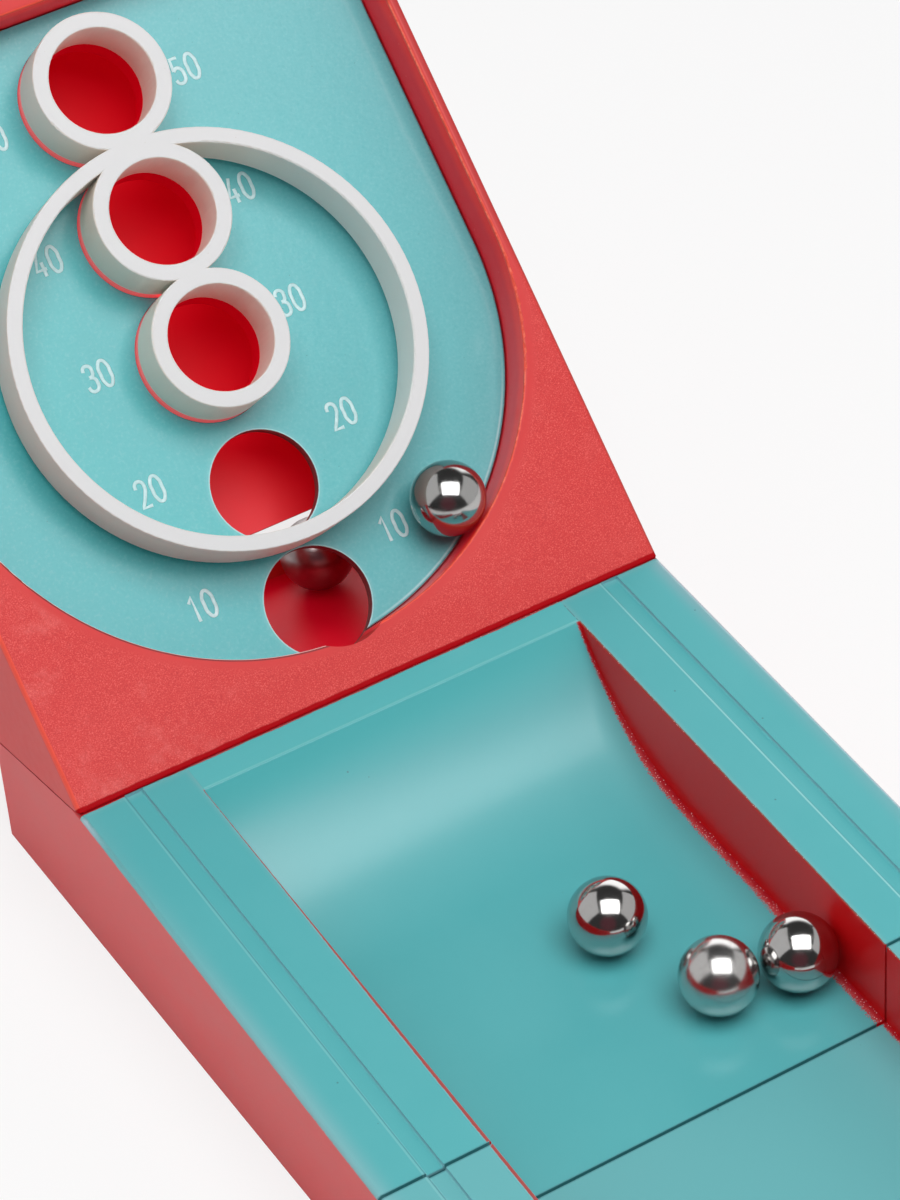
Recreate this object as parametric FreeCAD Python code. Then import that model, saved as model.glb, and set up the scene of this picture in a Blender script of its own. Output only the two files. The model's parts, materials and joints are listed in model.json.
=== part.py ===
"""Tabletop ball-rolling score game: a two-section ramped lane and a leaning target box.

Millimetres and degrees. +X is to the player's right, +Y away from the player, +Z up.
The origin is on the table, below the middle of the whole game's outline.
"""
import FreeCAD, Part
import math
import os

# Overall sizes
OVERALL_WIDTH = 103.0
FACE_FOOT_HEIGHT = 25.9
REAR_LANE_LENGTH = 85.4
FRONT_LENGTH = 50.0
BASE_TAIL = 28.9
FACE_LENGTH = 120.0
HOUSING_DEPTH = 24.5
FACE_TILT = 43.8
LANE_SLOPE = 4.0
PARTING_SLOPE = 11.3

# Lane and rails
RAIL_WIDTH = 18.3
RAIL_STEP = 0.35
LANE_DEPTH = 15.2
CREST_SETBACK = 5.4
RAMP_RADIUS = 39.5
BASE_WALL = 1.8
RIB_THICKNESS = 1.2
RIB_LIFT = 1.5
REAR_RIB_PLACES = (-62.0, -40.0, -18.0)
FRONT_RIB_PLACES = (-118.0, -102.0)
CROSS_RIB_PLACE = -10.0
RAMP_RIB_TOP = 19.0
RAIL_EDGE_ROUND = 0.8
LANE_EDGE_ROUND = 0.3
GROOVE_INSET = 7.8
GROOVE_WIDTH = 2.85
GROOVE_DEPTH = 0.6
GROOVE_FOOT_ROUND = 0.35
GROOVE_RIM_ROUND = 0.15
SEAM_GAP = 0.5
FRONT_LIP_HEIGHT = 5.0
FRONT_LIP_THICKNESS = 2.4
FRONT_NOSE_ROUND = 5.0

# Joint between the two lane sections
SECTION_TONGUE_WIDTH = 9.0
SECTION_TONGUE_THICKNESS = 2.2
SECTION_TONGUE_LENGTH = 12.0
SECTION_TONGUE_HEIGHT = 6.5
TONGUE_CLEARANCE = 0.3

# Target box
HOUSING_WALL = 1.9
FACE_PLATE = 1.8
FACE_EDGE_ROUND = 0.9
FOOT_EDGE_ROUND = 0.5
FOOT_SETBACK = 0.05
FOOT_GAP = 0.15
RECESS_EDGE_ROUND = 0.45
PARTING_GAP = 0.25
RECESS_DEPTH = 8.6
RECESS_FOOT_BAR = 7.9
RECESS_TOP_BAR = 3.8
RECESS_SKIRT = 2.6
RECESS_FLOOR = 1.0
BOARD_THICKNESS = 1.0
BOARD_GAP = 0.25
BACK_THICKNESS = 1.4
BACK_GAP = 0.2
EXIT_TOP = 30.1
EXIT_INSET = 2.0
EXIT_CORNER_ROUND = 4.0
HOUSING_TONGUE_THICKNESS = 1.9
HOUSING_TONGUE_WIDTH = 10.0
HOUSING_TONGUE_DEPTH = 5.0
HOUSING_TONGUE_ROOT = 6.0
HOUSING_TONGUE_PLACE = 15.0
HOUSING_TONGUE_INSET = 1.2

# Scoring rings and holes, placed up the face from its lower edge
HOLE_RADIUS = 8.76
HOLE_10_PLACE = 15.3
HOLE_20_PLACE = 35.2
RING_30_PLACE = 57.6
RING_CHAIN_OVERLAP = 0.71
BIG_RING_OVERLAP = 0.98
RING_BORE_RADIUS = 8.46
RING_WALL = 2.57
BIG_RING_BORE_RADIUS = 30.95
BIG_RING_WALL = 2.5
RING_HEIGHT = 8.5
RING_EDGE_ROUND = 0.25
COLLAR_HEIGHT = 1.65
COLLAR_WALL = 2.45

# Ball tray behind and under the target
TRAY_TONGUE_GAP = 2.0
TRAY_WALL = 1.6
TRAY_DROP = 2.9
TRAY_FRONT = 3.0
TRAY_REAR = 44.0
TRAY_LIP_HEIGHT = 3.2
TRAY_LIP_STEP = 6.5
TRAY_SIDE_HEIGHT = 4.5
TRAY_CORNER_ROUND = 3.0
TRAY_CLEARANCE = 0.3
TRAY_FLANGE_WIDTH = 6.5
TRAY_FLANGE_THICKNESS = 1.2
TRAY_FLANGE_FRONT = 5.0
TRAY_FLANGE_REAR = 20.0

# Screws
SCREW_SHANK_RADIUS = 1.05
SCREW_PILOT_RADIUS = 1.15
SCREW_HOLE_RADIUS = 1.5
SCREW_HEAD_RADIUS = 2.3
SCREW_HEAD_HEIGHT = 1.2
SCREW_HEAD_ROUND = 0.55
SCREW_LENGTH = 8.0
SCREW_SLOT_WIDTH = 0.7
SCREW_SLOT_DEPTH = 0.6
BOSS_WALL = 1.9
BOSS_INSET = 4.6
BACK_BOSS_LOW = 24.0
BACK_BOSS_TOP_ROOM = 10.0
TRAY_BOSS_DEPTH = 7.0
TRAY_SCREW_PLACE = 12.0

# Balls
BALL_RADIUS = 6.0
BALL_CLEARANCE = 0.15
BALL_WALL_GAP = 0.2
BALL_PASSING_GAP = 0.3
BALL_1_STEP = 7.1
BALL_1_Y = -51.7
BALL_2_Y = -70.2
BALL_3_Y = -72.7
BOARD_BALL_ANGLE = 34.05
TRAY_BALL_X = 10.6
TRAY_BALL_ROOM = 1.1

# Worked-out sizes
HALF_WIDTH = OVERALL_WIDTH / 2
TILT = math.radians(FACE_TILT)
SLOPE = math.radians(LANE_SLOPE)
PARTING = math.radians(PARTING_SLOPE)
RAIL_AT_FOOT = FACE_FOOT_HEIGHT - RAIL_STEP
LANE_HALF = HALF_WIDTH - RAIL_WIDTH
RECESS_RADIUS = HALF_WIDTH - HOUSING_WALL
RECESS_CENTRE = RECESS_RADIUS + RECESS_FOOT_BAR
TRAY_HALF_WIDTH = (RECESS_RADIUS - HOUSING_TONGUE_INSET - HOUSING_TONGUE_THICKNESS
                   - TRAY_TONGUE_GAP - TRAY_FLANGE_WIDTH)
EXIT_HALF_WIDTH = TRAY_HALF_WIDTH - EXIT_INSET
BACK_BOSS_HIGH = FACE_LENGTH - BACK_BOSS_TOP_ROOM
RECESS_TOP = FACE_LENGTH - RECESS_TOP_BAR
BOARD_TOP = -RECESS_DEPTH
BOARD_BACK = BOARD_TOP - BOARD_THICKNESS
FLOOR_BACK = BOARD_BACK - RECESS_FLOOR
RING_OUTER_RADIUS = RING_BORE_RADIUS + RING_WALL
BIG_RING_OUTER_RADIUS = BIG_RING_BORE_RADIUS + BIG_RING_WALL
COLLAR_RADIUS = RING_BORE_RADIUS + COLLAR_WALL
RING_40_PLACE = RING_30_PLACE + 2 * RING_OUTER_RADIUS - RING_CHAIN_OVERLAP
RING_50_PLACE = RING_30_PLACE + BIG_RING_OUTER_RADIUS + RING_OUTER_RADIUS - BIG_RING_OVERLAP
RING_PLACES = (RING_30_PLACE, RING_40_PLACE, RING_50_PLACE)
HOLE_PLACES = (HOLE_10_PLACE, HOLE_20_PLACE)
FRONT_END = -(REAR_LANE_LENGTH + SEAM_GAP + FRONT_LENGTH)
REAR_END = FACE_LENGTH * math.cos(TILT) + HOUSING_DEPTH * math.sin(TILT)
FOOT_Y = -(FRONT_END + REAR_END) / 2
LOWER_EDGE_ANGLE = TILT + PARTING
LOWER_EDGE_LIFT = PARTING_GAP - RAIL_STEP * math.cos(PARTING)
BALL_3_X = LANE_HALF - BALL_RADIUS - BALL_WALL_GAP
BALL_2_X = BALL_3_X - 2 * BALL_RADIUS - BALL_PASSING_GAP
LANE_BALL_PLACES = {"ball_1": (BALL_2_X - BALL_1_STEP, BALL_1_Y), "ball_2": (BALL_2_X, BALL_2_Y),
                    "ball_3": (BALL_3_X, BALL_3_Y)}
BIG = 400.0
CUT_MARGIN = 5.0


def vec(x, y, z):
    """Return a point in the game's frame, with y measured from the face's lower edge."""
    return FreeCAD.Vector(x, y + FOOT_Y, z)


def slope_point(x, along, normal):
    """Return a point by its distance along the rail slope and out of it."""
    y = along * math.cos(SLOPE) - normal * math.sin(SLOPE)
    z = RAIL_AT_FOOT + along * math.sin(SLOPE) + normal * math.cos(SLOPE)
    return vec(x, y, z)


def rail_height(y):
    """Return the rail top's height above the table at y."""
    return RAIL_AT_FOOT + y * math.tan(SLOPE)


def parting_height(y):
    """Return the height of the joint line between base and target box at y."""
    return RAIL_AT_FOOT - y * math.tan(PARTING)


def target_point(x, place, out):
    """Return a point by its place up the face and its height out of the face."""
    y = place * math.cos(TILT) - out * math.sin(TILT)
    z = FACE_FOOT_HEIGHT + place * math.sin(TILT) + out * math.cos(TILT)
    return vec(x, y, z)


def target_normal():
    """Return the unit vector out of the target face."""
    return FreeCAD.Vector(0, -math.sin(TILT), math.cos(TILT))


def box(x0, x1, y0, y1, z0, z1):
    """Return a box between two corners, with y measured from the face's lower edge."""
    return Part.makeBox(x1 - x0, y1 - y0, z1 - z0, vec(x0, y0, z0))


def side_prism(points, half_width):
    """Extrude a side outline of (y, z) points over the width, both ways from the middle."""
    wire = Part.makePolygon([vec(-half_width, y, z) for y, z in points + points[:1]])
    return Part.Face(wire).extrude(FreeCAD.Vector(2 * half_width, 0, 0))


def target_prism(points, half_width):
    """Extrude an outline of (place, out) points on the target over the width."""
    wire = Part.makePolygon([target_point(-half_width, s, h) for s, h in points + points[:1]])
    return Part.Face(wire).extrude(FreeCAD.Vector(2 * half_width, 0, 0))


def target_cylinder(x, place, radius, low, high):
    """Return a cylinder that stands square on the target, from low to high out of the face."""
    return Part.makeCylinder(radius, high - low, target_point(x, place, low), target_normal())


def mirror_pair(shape):
    """Return a shape and its twin on the other side of the middle plane."""
    twin = shape.mirror(FreeCAD.Vector(0, 0, 0), FreeCAD.Vector(1, 0, 0))
    return [shape, twin]


def fuse_all(base, extras):
    """Fuse a list of shapes to one and merge the faces that run on."""
    return base.fuse(extras).removeSplitter()


def only_solid(shape):
    """Return the single solid of a finished shape, or stop."""
    solids = shape.Solids
    if len(solids) != 1:
        raise ValueError("expected one solid, found %d" % len(solids))
    return solids[0]


def round_edges(shape, radius, points):
    """Fillet the edges that pass through the given points."""
    marks = [Part.Vertex(point) for point in points]
    edges = [edge for edge in shape.Edges
             if any(edge.distToShape(mark)[0] < 0.01 for mark in marks)]
    return shape.makeFillet(radius, edges)


def round_circles(shape, radius, sizes):
    """Fillet the full circular edges of the given radii."""
    edges = [edge for edge in shape.Edges
             if isinstance(edge.Curve, Part.Circle) and edge.isClosed()
             and any(abs(edge.Curve.Radius - size) < 0.001 for size in sizes)]
    return shape.makeFillet(radius, edges)


def round_rail_edges(shape, y):
    """Round a base section's two upper outer edges, found at y."""
    points = [vec(side * HALF_WIDTH, y, rail_height(y)) for side in (-1, 1)]
    return round_edges(shape, RAIL_EDGE_ROUND, points)


def round_nose(shape, radius, inset):
    """Round the front section's two upright near corners, inset from the outer skin."""
    points = [vec(side * (HALF_WIDTH - inset), FRONT_END + inset, 2) for side in (-1, 1)]
    return round_edges(shape, radius, points)


def lane_space(offset, near_end):
    """Return the lane's hollow, grown by offset: floor, ramp and the room above them."""
    radius = RAMP_RADIUS + offset
    crest_rise = RAMP_RADIUS - LANE_DEPTH
    run = math.sqrt(RAMP_RADIUS ** 2 - crest_rise ** 2)
    tangent = -CREST_SETBACK - run
    floor = -LANE_DEPTH - offset
    centre_out = RAMP_RADIUS - LANE_DEPTH
    end_angle = math.acos(centre_out / radius)
    half = LANE_HALF + offset

    def arc_point(angle):
        along = tangent + radius * math.sin(angle)
        return slope_point(-half, along, centre_out - radius * math.cos(angle))

    start = slope_point(-half, near_end, floor)
    foot = arc_point(0)
    top = arc_point(end_angle)
    over_top = top + FreeCAD.Vector(0, 0, BIG)
    over_start = start + FreeCAD.Vector(0, 0, BIG)
    edges = [
        Part.LineSegment(start, foot).toShape(),
        Part.Arc(foot, arc_point(end_angle / 2), top).toShape(),
        Part.LineSegment(top, over_top).toShape(),
        Part.LineSegment(over_top, over_start).toShape(),
        Part.LineSegment(over_start, start).toShape(),
    ]
    return Part.Face(Part.Wire(edges)).extrude(FreeCAD.Vector(2 * half, 0, 0))


def front_space(offset):
    """Return the front section's lane hollow, closed by the low wall at its near end."""
    half = LANE_HALF + offset
    near = FRONT_END + FRONT_LIP_THICKNESS - offset
    points = [(near, -LANE_DEPTH - offset), (0, -LANE_DEPTH - offset), (0, BIG), (near, BIG)]
    wire = Part.makePolygon([slope_point(-half, a, n) for a, n in points + points[:1]])
    return Part.Face(wire).extrude(FreeCAD.Vector(2 * half, 0, 0))


def rail_groove():
    """Return the cutter of one rail's long shallow groove, with its rounded foot and rims."""
    outer = HALF_WIDTH - GROOVE_INSET
    inner = outer - GROOVE_WIDTH
    far, near = 0.0, FRONT_END - CUT_MARGIN
    foot = GROOVE_FOOT_ROUND
    rim = GROOVE_RIM_ROUND
    bend = 1 - math.sqrt(0.5)

    def point(x, out):
        return slope_point(x, near, out)

    def side(wall, inward):
        return [point(wall - inward * rim, 0.02), point(wall - inward * rim * bend, -rim * bend),
                point(wall, -rim), point(wall, foot - GROOVE_DEPTH),
                point(wall + inward * foot * bend, foot * bend - GROOVE_DEPTH),
                point(wall + inward * foot, -GROOVE_DEPTH)]

    left = side(inner, 1)
    right = side(outer, -1)
    over_left = point(inner - rim, 2.0)
    over_right = point(outer + rim, 2.0)
    edges = [
        Part.Arc(left[0], left[1], left[2]).toShape(),
        Part.LineSegment(left[2], left[3]).toShape(),
        Part.Arc(left[3], left[4], left[5]).toShape(),
        Part.LineSegment(left[5], right[5]).toShape(),
        Part.Arc(right[5], right[4], right[3]).toShape(),
        Part.LineSegment(right[3], right[2]).toShape(),
        Part.Arc(right[2], right[1], right[0]).toShape(),
        Part.LineSegment(right[0], over_right).toShape(),
        Part.LineSegment(over_right, over_left).toShape(),
        Part.LineSegment(over_left, left[0]).toShape(),
    ]
    run = slope_point(0, far, 0) - slope_point(0, near, 0)
    return Part.Face(Part.Wire(edges)).extrude(run)


def upright(x, y, radius, z0, z1):
    """Return a vertical cylinder, with y measured from the face's lower edge."""
    return Part.makeCylinder(radius, z1 - z0, vec(x, y, z0))


def tray_outline(grow):
    """Return the ball tray's outer side outline, grown by a clearance."""
    front = TRAY_FRONT - grow
    rear = TRAY_REAR + TRAY_WALL + grow
    low = TRAY_DROP + TRAY_WALL + grow
    return front, rear, low


def rail_ribs(y):
    """Return the two stiffening ribs inside the hollow rails at y."""
    inner = LANE_HALF + BASE_WALL / 2
    outer = HALF_WIDTH - BASE_WALL / 2
    half = RIB_THICKNESS / 2
    return mirror_pair(box(inner, outer, y - half, y + half, RIB_LIFT,
                           rail_height(y) - BASE_WALL / 2))


def cross_rib():
    """Return the rib that stiffens the hollow below the top of the ramp."""
    half = RIB_THICKNESS / 2
    return box(-HALF_WIDTH + BASE_WALL / 2, HALF_WIDTH - BASE_WALL / 2, CROSS_RIB_PLACE - half,
               CROSS_RIB_PLACE + half, RIB_LIFT, RAMP_RIB_TOP)


def rear_base():
    """Return the rear lane section: rails, lane, ramp, and the deck under the target."""
    front = -REAR_LANE_LENGTH
    wall = BASE_WALL
    outer = side_prism([(front, 0), (BASE_TAIL, 0), (BASE_TAIL, parting_height(BASE_TAIL)),
                        (0, RAIL_AT_FOOT), (front, rail_height(front))], HALF_WIDTH)
    outer = round_rail_edges(outer, front / 2)
    outer = outer.cut(lane_space(0, front - CUT_MARGIN))
    crest = [slope_point(side * LANE_HALF, front * part, 0) for side in (-1, 1) for part in (0.1, 0.9)]
    outer = round_edges(outer, LANE_EDGE_ROUND, crest + [slope_point(0, -CREST_SETBACK, 0)])
    inner = side_prism([(front + wall, -1), (BASE_TAIL - wall, -1),
                        (BASE_TAIL - wall, parting_height(BASE_TAIL - wall) - wall),
                        (0, RAIL_AT_FOOT - wall), (front + wall, rail_height(front + wall) - wall)],
                       HALF_WIDTH - wall)
    cavity = inner.cut(lane_space(wall, front - CUT_MARGIN))
    shell = outer.cut(cavity)
    shell = shell.cut(mirror_pair(rail_groove()))
    shell = shell.cut(tray_well())
    top = parting_height(TRAY_SCREW_PLACE) - wall / 2
    low = top - TRAY_BOSS_DEPTH
    boss_radius = SCREW_PILOT_RADIUS + BOSS_WALL
    extras = [upright(x, y, boss_radius, low, top) for x, y in tray_screw_places()]
    extras.append(cross_rib())
    for place in REAR_RIB_PLACES:
        extras += rail_ribs(place)
    shell = fuse_all(shell, extras)
    shell = shell.cut([upright(x, y, SCREW_PILOT_RADIUS, low - 1, top + CUT_MARGIN)
                       for x, y in tray_screw_places()])
    shell = shell.cut(section_tongues(TONGUE_CLEARANCE))
    shell = shell.cut(housing_tongues(TONGUE_CLEARANCE))
    return only_solid(shell)


def section_tongues(grow):
    """Return the front section's two tongues, grown by grow to cut their slots."""
    middle = (LANE_HALF + HALF_WIDTH) / 2
    half = SECTION_TONGUE_WIDTH / 2 + grow
    y0 = -(REAR_LANE_LENGTH + SEAM_GAP + BASE_WALL / 2)
    y1 = -REAR_LANE_LENGTH + SECTION_TONGUE_LENGTH + grow
    z0 = SECTION_TONGUE_HEIGHT - grow
    z1 = SECTION_TONGUE_HEIGHT + SECTION_TONGUE_THICKNESS + grow
    return mirror_pair(box(middle - half, middle + half, y0, y1, z0, z1))


def front_base():
    """Return the front lane section: rails, lane, low end wall and the joining tongues."""
    rear = -(REAR_LANE_LENGTH + SEAM_GAP)
    wall = BASE_WALL
    outer = side_prism([(FRONT_END, 0), (rear, 0), (rear, rail_height(rear)),
                        (FRONT_END, rail_height(FRONT_END))], HALF_WIDTH)
    outer = round_nose(outer, FRONT_NOSE_ROUND, 0)
    outer = round_rail_edges(outer, (FRONT_END + rear) / 2)
    inner = side_prism([(FRONT_END + wall, -1), (rear - wall, -1),
                        (rear - wall, rail_height(rear - wall) - wall),
                        (FRONT_END + wall, rail_height(FRONT_END + wall) - wall)],
                       HALF_WIDTH - wall)
    inner = round_nose(inner, FRONT_NOSE_ROUND - wall, wall)
    outer = outer.cut(front_space(0))
    lip = [vec(side * LANE_HALF, (FRONT_END + rear) / 2, rail_height((FRONT_END + rear) / 2))
           for side in (-1, 1)]
    outer = round_edges(outer, LANE_EDGE_ROUND, lip)
    shell = outer.cut(inner.cut(front_space(wall)))
    lip_cut = box(-LANE_HALF, LANE_HALF, FRONT_END - 1, FRONT_END + FRONT_LIP_THICKNESS + 1,
                  rail_height(FRONT_END) - LANE_DEPTH / math.cos(SLOPE) + FRONT_LIP_HEIGHT, BIG)
    shell = shell.cut(lip_cut)
    shell = shell.cut(mirror_pair(rail_groove()))
    extras = section_tongues(0)
    for place in FRONT_RIB_PLACES:
        extras += rail_ribs(place)
    shell = fuse_all(shell, extras)
    return only_solid(shell)


def tray_screw_places():
    """Return the tray screws' places as (x, y)."""
    x = TRAY_HALF_WIDTH + TRAY_FLANGE_WIDTH / 2
    return [(side * x, TRAY_SCREW_PLACE) for side in (-1, 1)]


def tray_floor(y):
    """Return the height of the ball tray's floor at y."""
    return parting_height(y) - TRAY_DROP


def tray_well():
    """Return the cutter for the ball tray's well in the deck and the rear wall."""
    front, rear, low = tray_outline(TRAY_CLEARANCE)
    outline = [(front, parting_height(front) - low), (rear, parting_height(rear) - low),
               (rear, BIG), (front, BIG)]
    return side_prism(outline, TRAY_HALF_WIDTH + TRAY_CLEARANCE)


def ball_tray():
    """Return the tray that catches the balls: sloping floor, sides, lip and flanges."""
    front, rear, low = tray_outline(0)
    flat = TRAY_REAR - BALL_RADIUS
    flange_y = (TRAY_FLANGE_REAR, TRAY_FLANGE_FRONT)
    flange_top = [(y, parting_height(y) + TRAY_FLANGE_THICKNESS) for y in flange_y]
    flange_low = [(y, parting_height(y)) for y in flange_y]
    trough = side_prism([(front, parting_height(front) - low), (rear, parting_height(rear) - low),
                         (rear, tray_floor(rear) + TRAY_SIDE_HEIGHT),
                         (flat, tray_floor(flat) + TRAY_SIDE_HEIGHT),
                         (BASE_TAIL, parting_height(BASE_TAIL)), flange_low[0]]
                        + flange_top + [flange_low[1], (front, parting_height(front))],
                        TRAY_HALF_WIDTH)
    corners = [vec(side * TRAY_HALF_WIDTH, rear, tray_floor(rear)) for side in (-1, 1)]
    trough = round_edges(trough, TRAY_CORNER_ROUND, corners)
    flanges = side_prism(flange_top + flange_low[::-1], TRAY_HALF_WIDTH + TRAY_FLANGE_WIDTH)
    inside = front + TRAY_WALL
    half = TRAY_HALF_WIDTH - TRAY_WALL
    hollow = side_prism([(inside, tray_floor(inside)), (TRAY_REAR, tray_floor(TRAY_REAR)),
                         (TRAY_REAR, BIG), (inside, BIG)], half)
    corners = [vec(side * half, TRAY_REAR, BIG / 2) for side in (-1, 1)]
    hollow = round_edges(hollow, TRAY_CORNER_ROUND - TRAY_WALL, corners)
    step = TRAY_HALF_WIDTH - TRAY_LIP_STEP
    lip_cut = box(-step, step, TRAY_REAR - 1, rear + 1, tray_floor(TRAY_REAR) + TRAY_LIP_HEIGHT,
                  BIG)
    holes = [upright(x, y, SCREW_HOLE_RADIUS, 0, BIG) for x, y in tray_screw_places()]
    return only_solid(fuse_all(trough, [flanges]).cut([hollow, lip_cut] + holes))


def housing_bottom(out):
    """Return the place up the face where the box's lower edge lies at a height out of the face."""
    return -out / math.tan(LOWER_EDGE_ANGLE) + LOWER_EDGE_LIFT / math.sin(LOWER_EDGE_ANGLE)


def face_coordinates(y, z):
    """Turn a point's y and its height above the face's lower edge into (place, out)."""
    return (y * math.cos(TILT) + z * math.sin(TILT), z * math.cos(TILT) - y * math.sin(TILT))


def housing_foot():
    """Return the box's lower front outline: down the short upright foot and back to the skin."""
    low = FOOT_GAP - RAIL_STEP
    meet = (LOWER_EDGE_LIFT / math.cos(PARTING) - low) / math.tan(PARTING)
    corners = [(FOOT_SETBACK, FOOT_SETBACK * math.tan(TILT)), (FOOT_SETBACK, low), (meet, low)]
    return [face_coordinates(y, z) for y, z in corners]


def housing_tongues(grow):
    """Return the target box's two downward tongues, grown by grow to cut their slots."""
    outer = RECESS_RADIUS - HOUSING_TONGUE_INSET
    inner = outer - HOUSING_TONGUE_THICKNESS
    y0 = HOUSING_TONGUE_PLACE - HOUSING_TONGUE_WIDTH / 2
    y1 = HOUSING_TONGUE_PLACE + HOUSING_TONGUE_WIDTH / 2
    low = parting_height(HOUSING_TONGUE_PLACE) - HOUSING_TONGUE_DEPTH
    high = parting_height(HOUSING_TONGUE_PLACE) + HOUSING_TONGUE_ROOT
    return mirror_pair(box(inner - grow, outer + grow, y0 - grow, y1 + grow, low - grow, high))


def housing_tongue_roots():
    """Return the blocks that carry the tongues on the box's side walls."""
    inner = RECESS_RADIUS - HOUSING_TONGUE_INSET - HOUSING_TONGUE_THICKNESS
    y0 = HOUSING_TONGUE_PLACE - HOUSING_TONGUE_WIDTH / 2
    y1 = HOUSING_TONGUE_PLACE + HOUSING_TONGUE_WIDTH / 2
    high = parting_height(HOUSING_TONGUE_PLACE) + HOUSING_TONGUE_ROOT
    return mirror_pair(box(inner, RECESS_RADIUS + HOUSING_WALL / 2, y0, y1, 0, high))


def recess_outline(radius, low, high, top):
    """Return a U-shaped block on the target: round below, straight-sided above."""
    left = target_point(-radius, RECESS_CENTRE, low)
    right = target_point(radius, RECESS_CENTRE, low)
    bottom = target_point(0, RECESS_CENTRE - radius, low)
    top_right = target_point(radius, top, low)
    top_left = target_point(-radius, top, low)
    edges = [
        Part.Arc(left, bottom, right).toShape(),
        Part.LineSegment(right, top_right).toShape(),
        Part.LineSegment(top_right, top_left).toShape(),
        Part.LineSegment(top_left, left).toShape(),
    ]
    return Part.Face(Part.Wire(edges)).extrude(target_normal() * (high - low))


def boss_places():
    """Return the back cover's screw places as (x, place up the face)."""
    x = RECESS_RADIUS - BOSS_INSET
    return [(side * x, place) for place in (BACK_BOSS_LOW, BACK_BOSS_HIGH) for side in (-1, 1)]


def boss_top(place):
    """Return how far out a screw boss reaches: to the face plate beside the round recess end."""
    return -FACE_PLATE / 2 if place < RECESS_CENTRE else FLOOR_BACK + RECESS_FLOOR / 2


def housing_block():
    """Return the target box's outer block, before it is hollowed."""
    depth = -HOUSING_DEPTH
    foot = housing_foot()
    block = target_prism([foot[0], (FACE_LENGTH, 0), (FACE_LENGTH, depth),
                          (housing_bottom(depth), depth), foot[2], foot[1]], HALF_WIDTH)
    marks = [target_point(0, FACE_LENGTH, 0)]
    marks += [target_point(side * HALF_WIDTH, FACE_LENGTH / 2, 0) for side in (-1, 1)]
    marks += [target_point(side * HALF_WIDTH, FACE_LENGTH, depth / 2) for side in (-1, 1)]
    block = round_edges(block, FACE_EDGE_ROUND, marks)
    return round_edges(block, FOOT_EDGE_ROUND, [target_point(0, *foot[0])])


def target_housing():
    """Return the target box's front shell: face, sides, U-shaped recess and its floor."""
    block = housing_block()
    depth = -HOUSING_DEPTH
    top = FACE_LENGTH - HOUSING_WALL
    cavity = target_prism([(-BIG, -FACE_PLATE), (top, -FACE_PLATE), (top, depth - 1),
                           (-BIG, depth - 1)], RECESS_RADIUS)
    shell = block.cut(cavity)
    skirt = recess_outline(RECESS_RADIUS + RECESS_SKIRT, FLOOR_BACK, 0, FACE_LENGTH)
    shell = shell.fuse(skirt.common(block))
    window = recess_outline(RECESS_RADIUS, BOARD_BACK, CUT_MARGIN, RECESS_TOP)
    shell = shell.cut(window)
    rim = [target_point(0, RECESS_CENTRE - RECESS_RADIUS, 0), target_point(0, RECESS_TOP, 0)]
    rim += [target_point(side * RECESS_RADIUS, (RECESS_CENTRE + RECESS_TOP) / 2, 0)
            for side in (-1, 1)]
    shell = round_edges(shell, RECESS_EDGE_ROUND, rim)
    roots = [tongue.common(block) for tongue in housing_tongue_roots()]
    shell = shell.fuse(roots + housing_tongues(0))
    collars = [target_cylinder(0, place, COLLAR_RADIUS, FLOOR_BACK, BOARD_TOP + COLLAR_HEIGHT)
               for place in RING_PLACES]
    shell = shell.fuse(collars)
    bosses = [target_cylinder(x, place, SCREW_PILOT_RADIUS + BOSS_WALL,
                              depth + BACK_THICKNESS, boss_top(place))
              for x, place in boss_places()]
    shell = fuse_all(shell, bosses)
    cutters = [target_cylinder(0, place, RING_BORE_RADIUS, depth, CUT_MARGIN)
               for place in RING_PLACES]
    cutters += [target_cylinder(0, place, HOLE_RADIUS, depth, CUT_MARGIN) for place in HOLE_PLACES]
    cutters += [target_cylinder(x, place, SCREW_PILOT_RADIUS, depth,
                                depth + BACK_THICKNESS + SCREW_LENGTH) for x, place in boss_places()]
    return only_solid(shell.cut(cutters))


def housing_back():
    """Return the back cover with its screw holes and the ball exit at its foot."""
    low = -HOUSING_DEPTH
    high = low + BACK_THICKNESS
    half = RECESS_RADIUS - BACK_GAP
    top = FACE_LENGTH - HOUSING_WALL - BACK_GAP
    plate = target_prism([(housing_bottom(high), high), (top, high), (top, low),
                          (housing_bottom(low), low)], half)
    exit_cut = target_prism([(-BIG, low - 1), (EXIT_TOP, low - 1), (EXIT_TOP, high + 1),
                             (-BIG, high + 1)], EXIT_HALF_WIDTH)
    corners = [target_point(side * EXIT_HALF_WIDTH, EXIT_TOP, (low + high) / 2) for side in (-1, 1)]
    exit_cut = round_edges(exit_cut, EXIT_CORNER_ROUND, corners)
    sill = box(-TRAY_HALF_WIDTH - TRAY_CLEARANCE, TRAY_HALF_WIDTH + TRAY_CLEARANCE,
               0, BIG, 0, parting_height(BASE_TAIL) + 2)
    holes = [target_cylinder(x, place, SCREW_HOLE_RADIUS, low - 1, high + 1)
             for x, place in boss_places()]
    return only_solid(plate.cut([exit_cut, sill] + holes))


def target_board():
    """Return the score board plate that lies on the recess floor."""
    plate = recess_outline(RECESS_RADIUS - BOARD_GAP, BOARD_BACK, BOARD_TOP,
                           RECESS_TOP - BOARD_GAP)
    cutters = [target_cylinder(0, place, COLLAR_RADIUS + BOARD_GAP / 2, BOARD_BACK - 1, 0)
               for place in RING_PLACES]
    cutters += [target_cylinder(0, place, HOLE_RADIUS, BOARD_BACK - 1, 0) for place in HOLE_PLACES]
    return only_solid(plate.cut(cutters))


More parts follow.
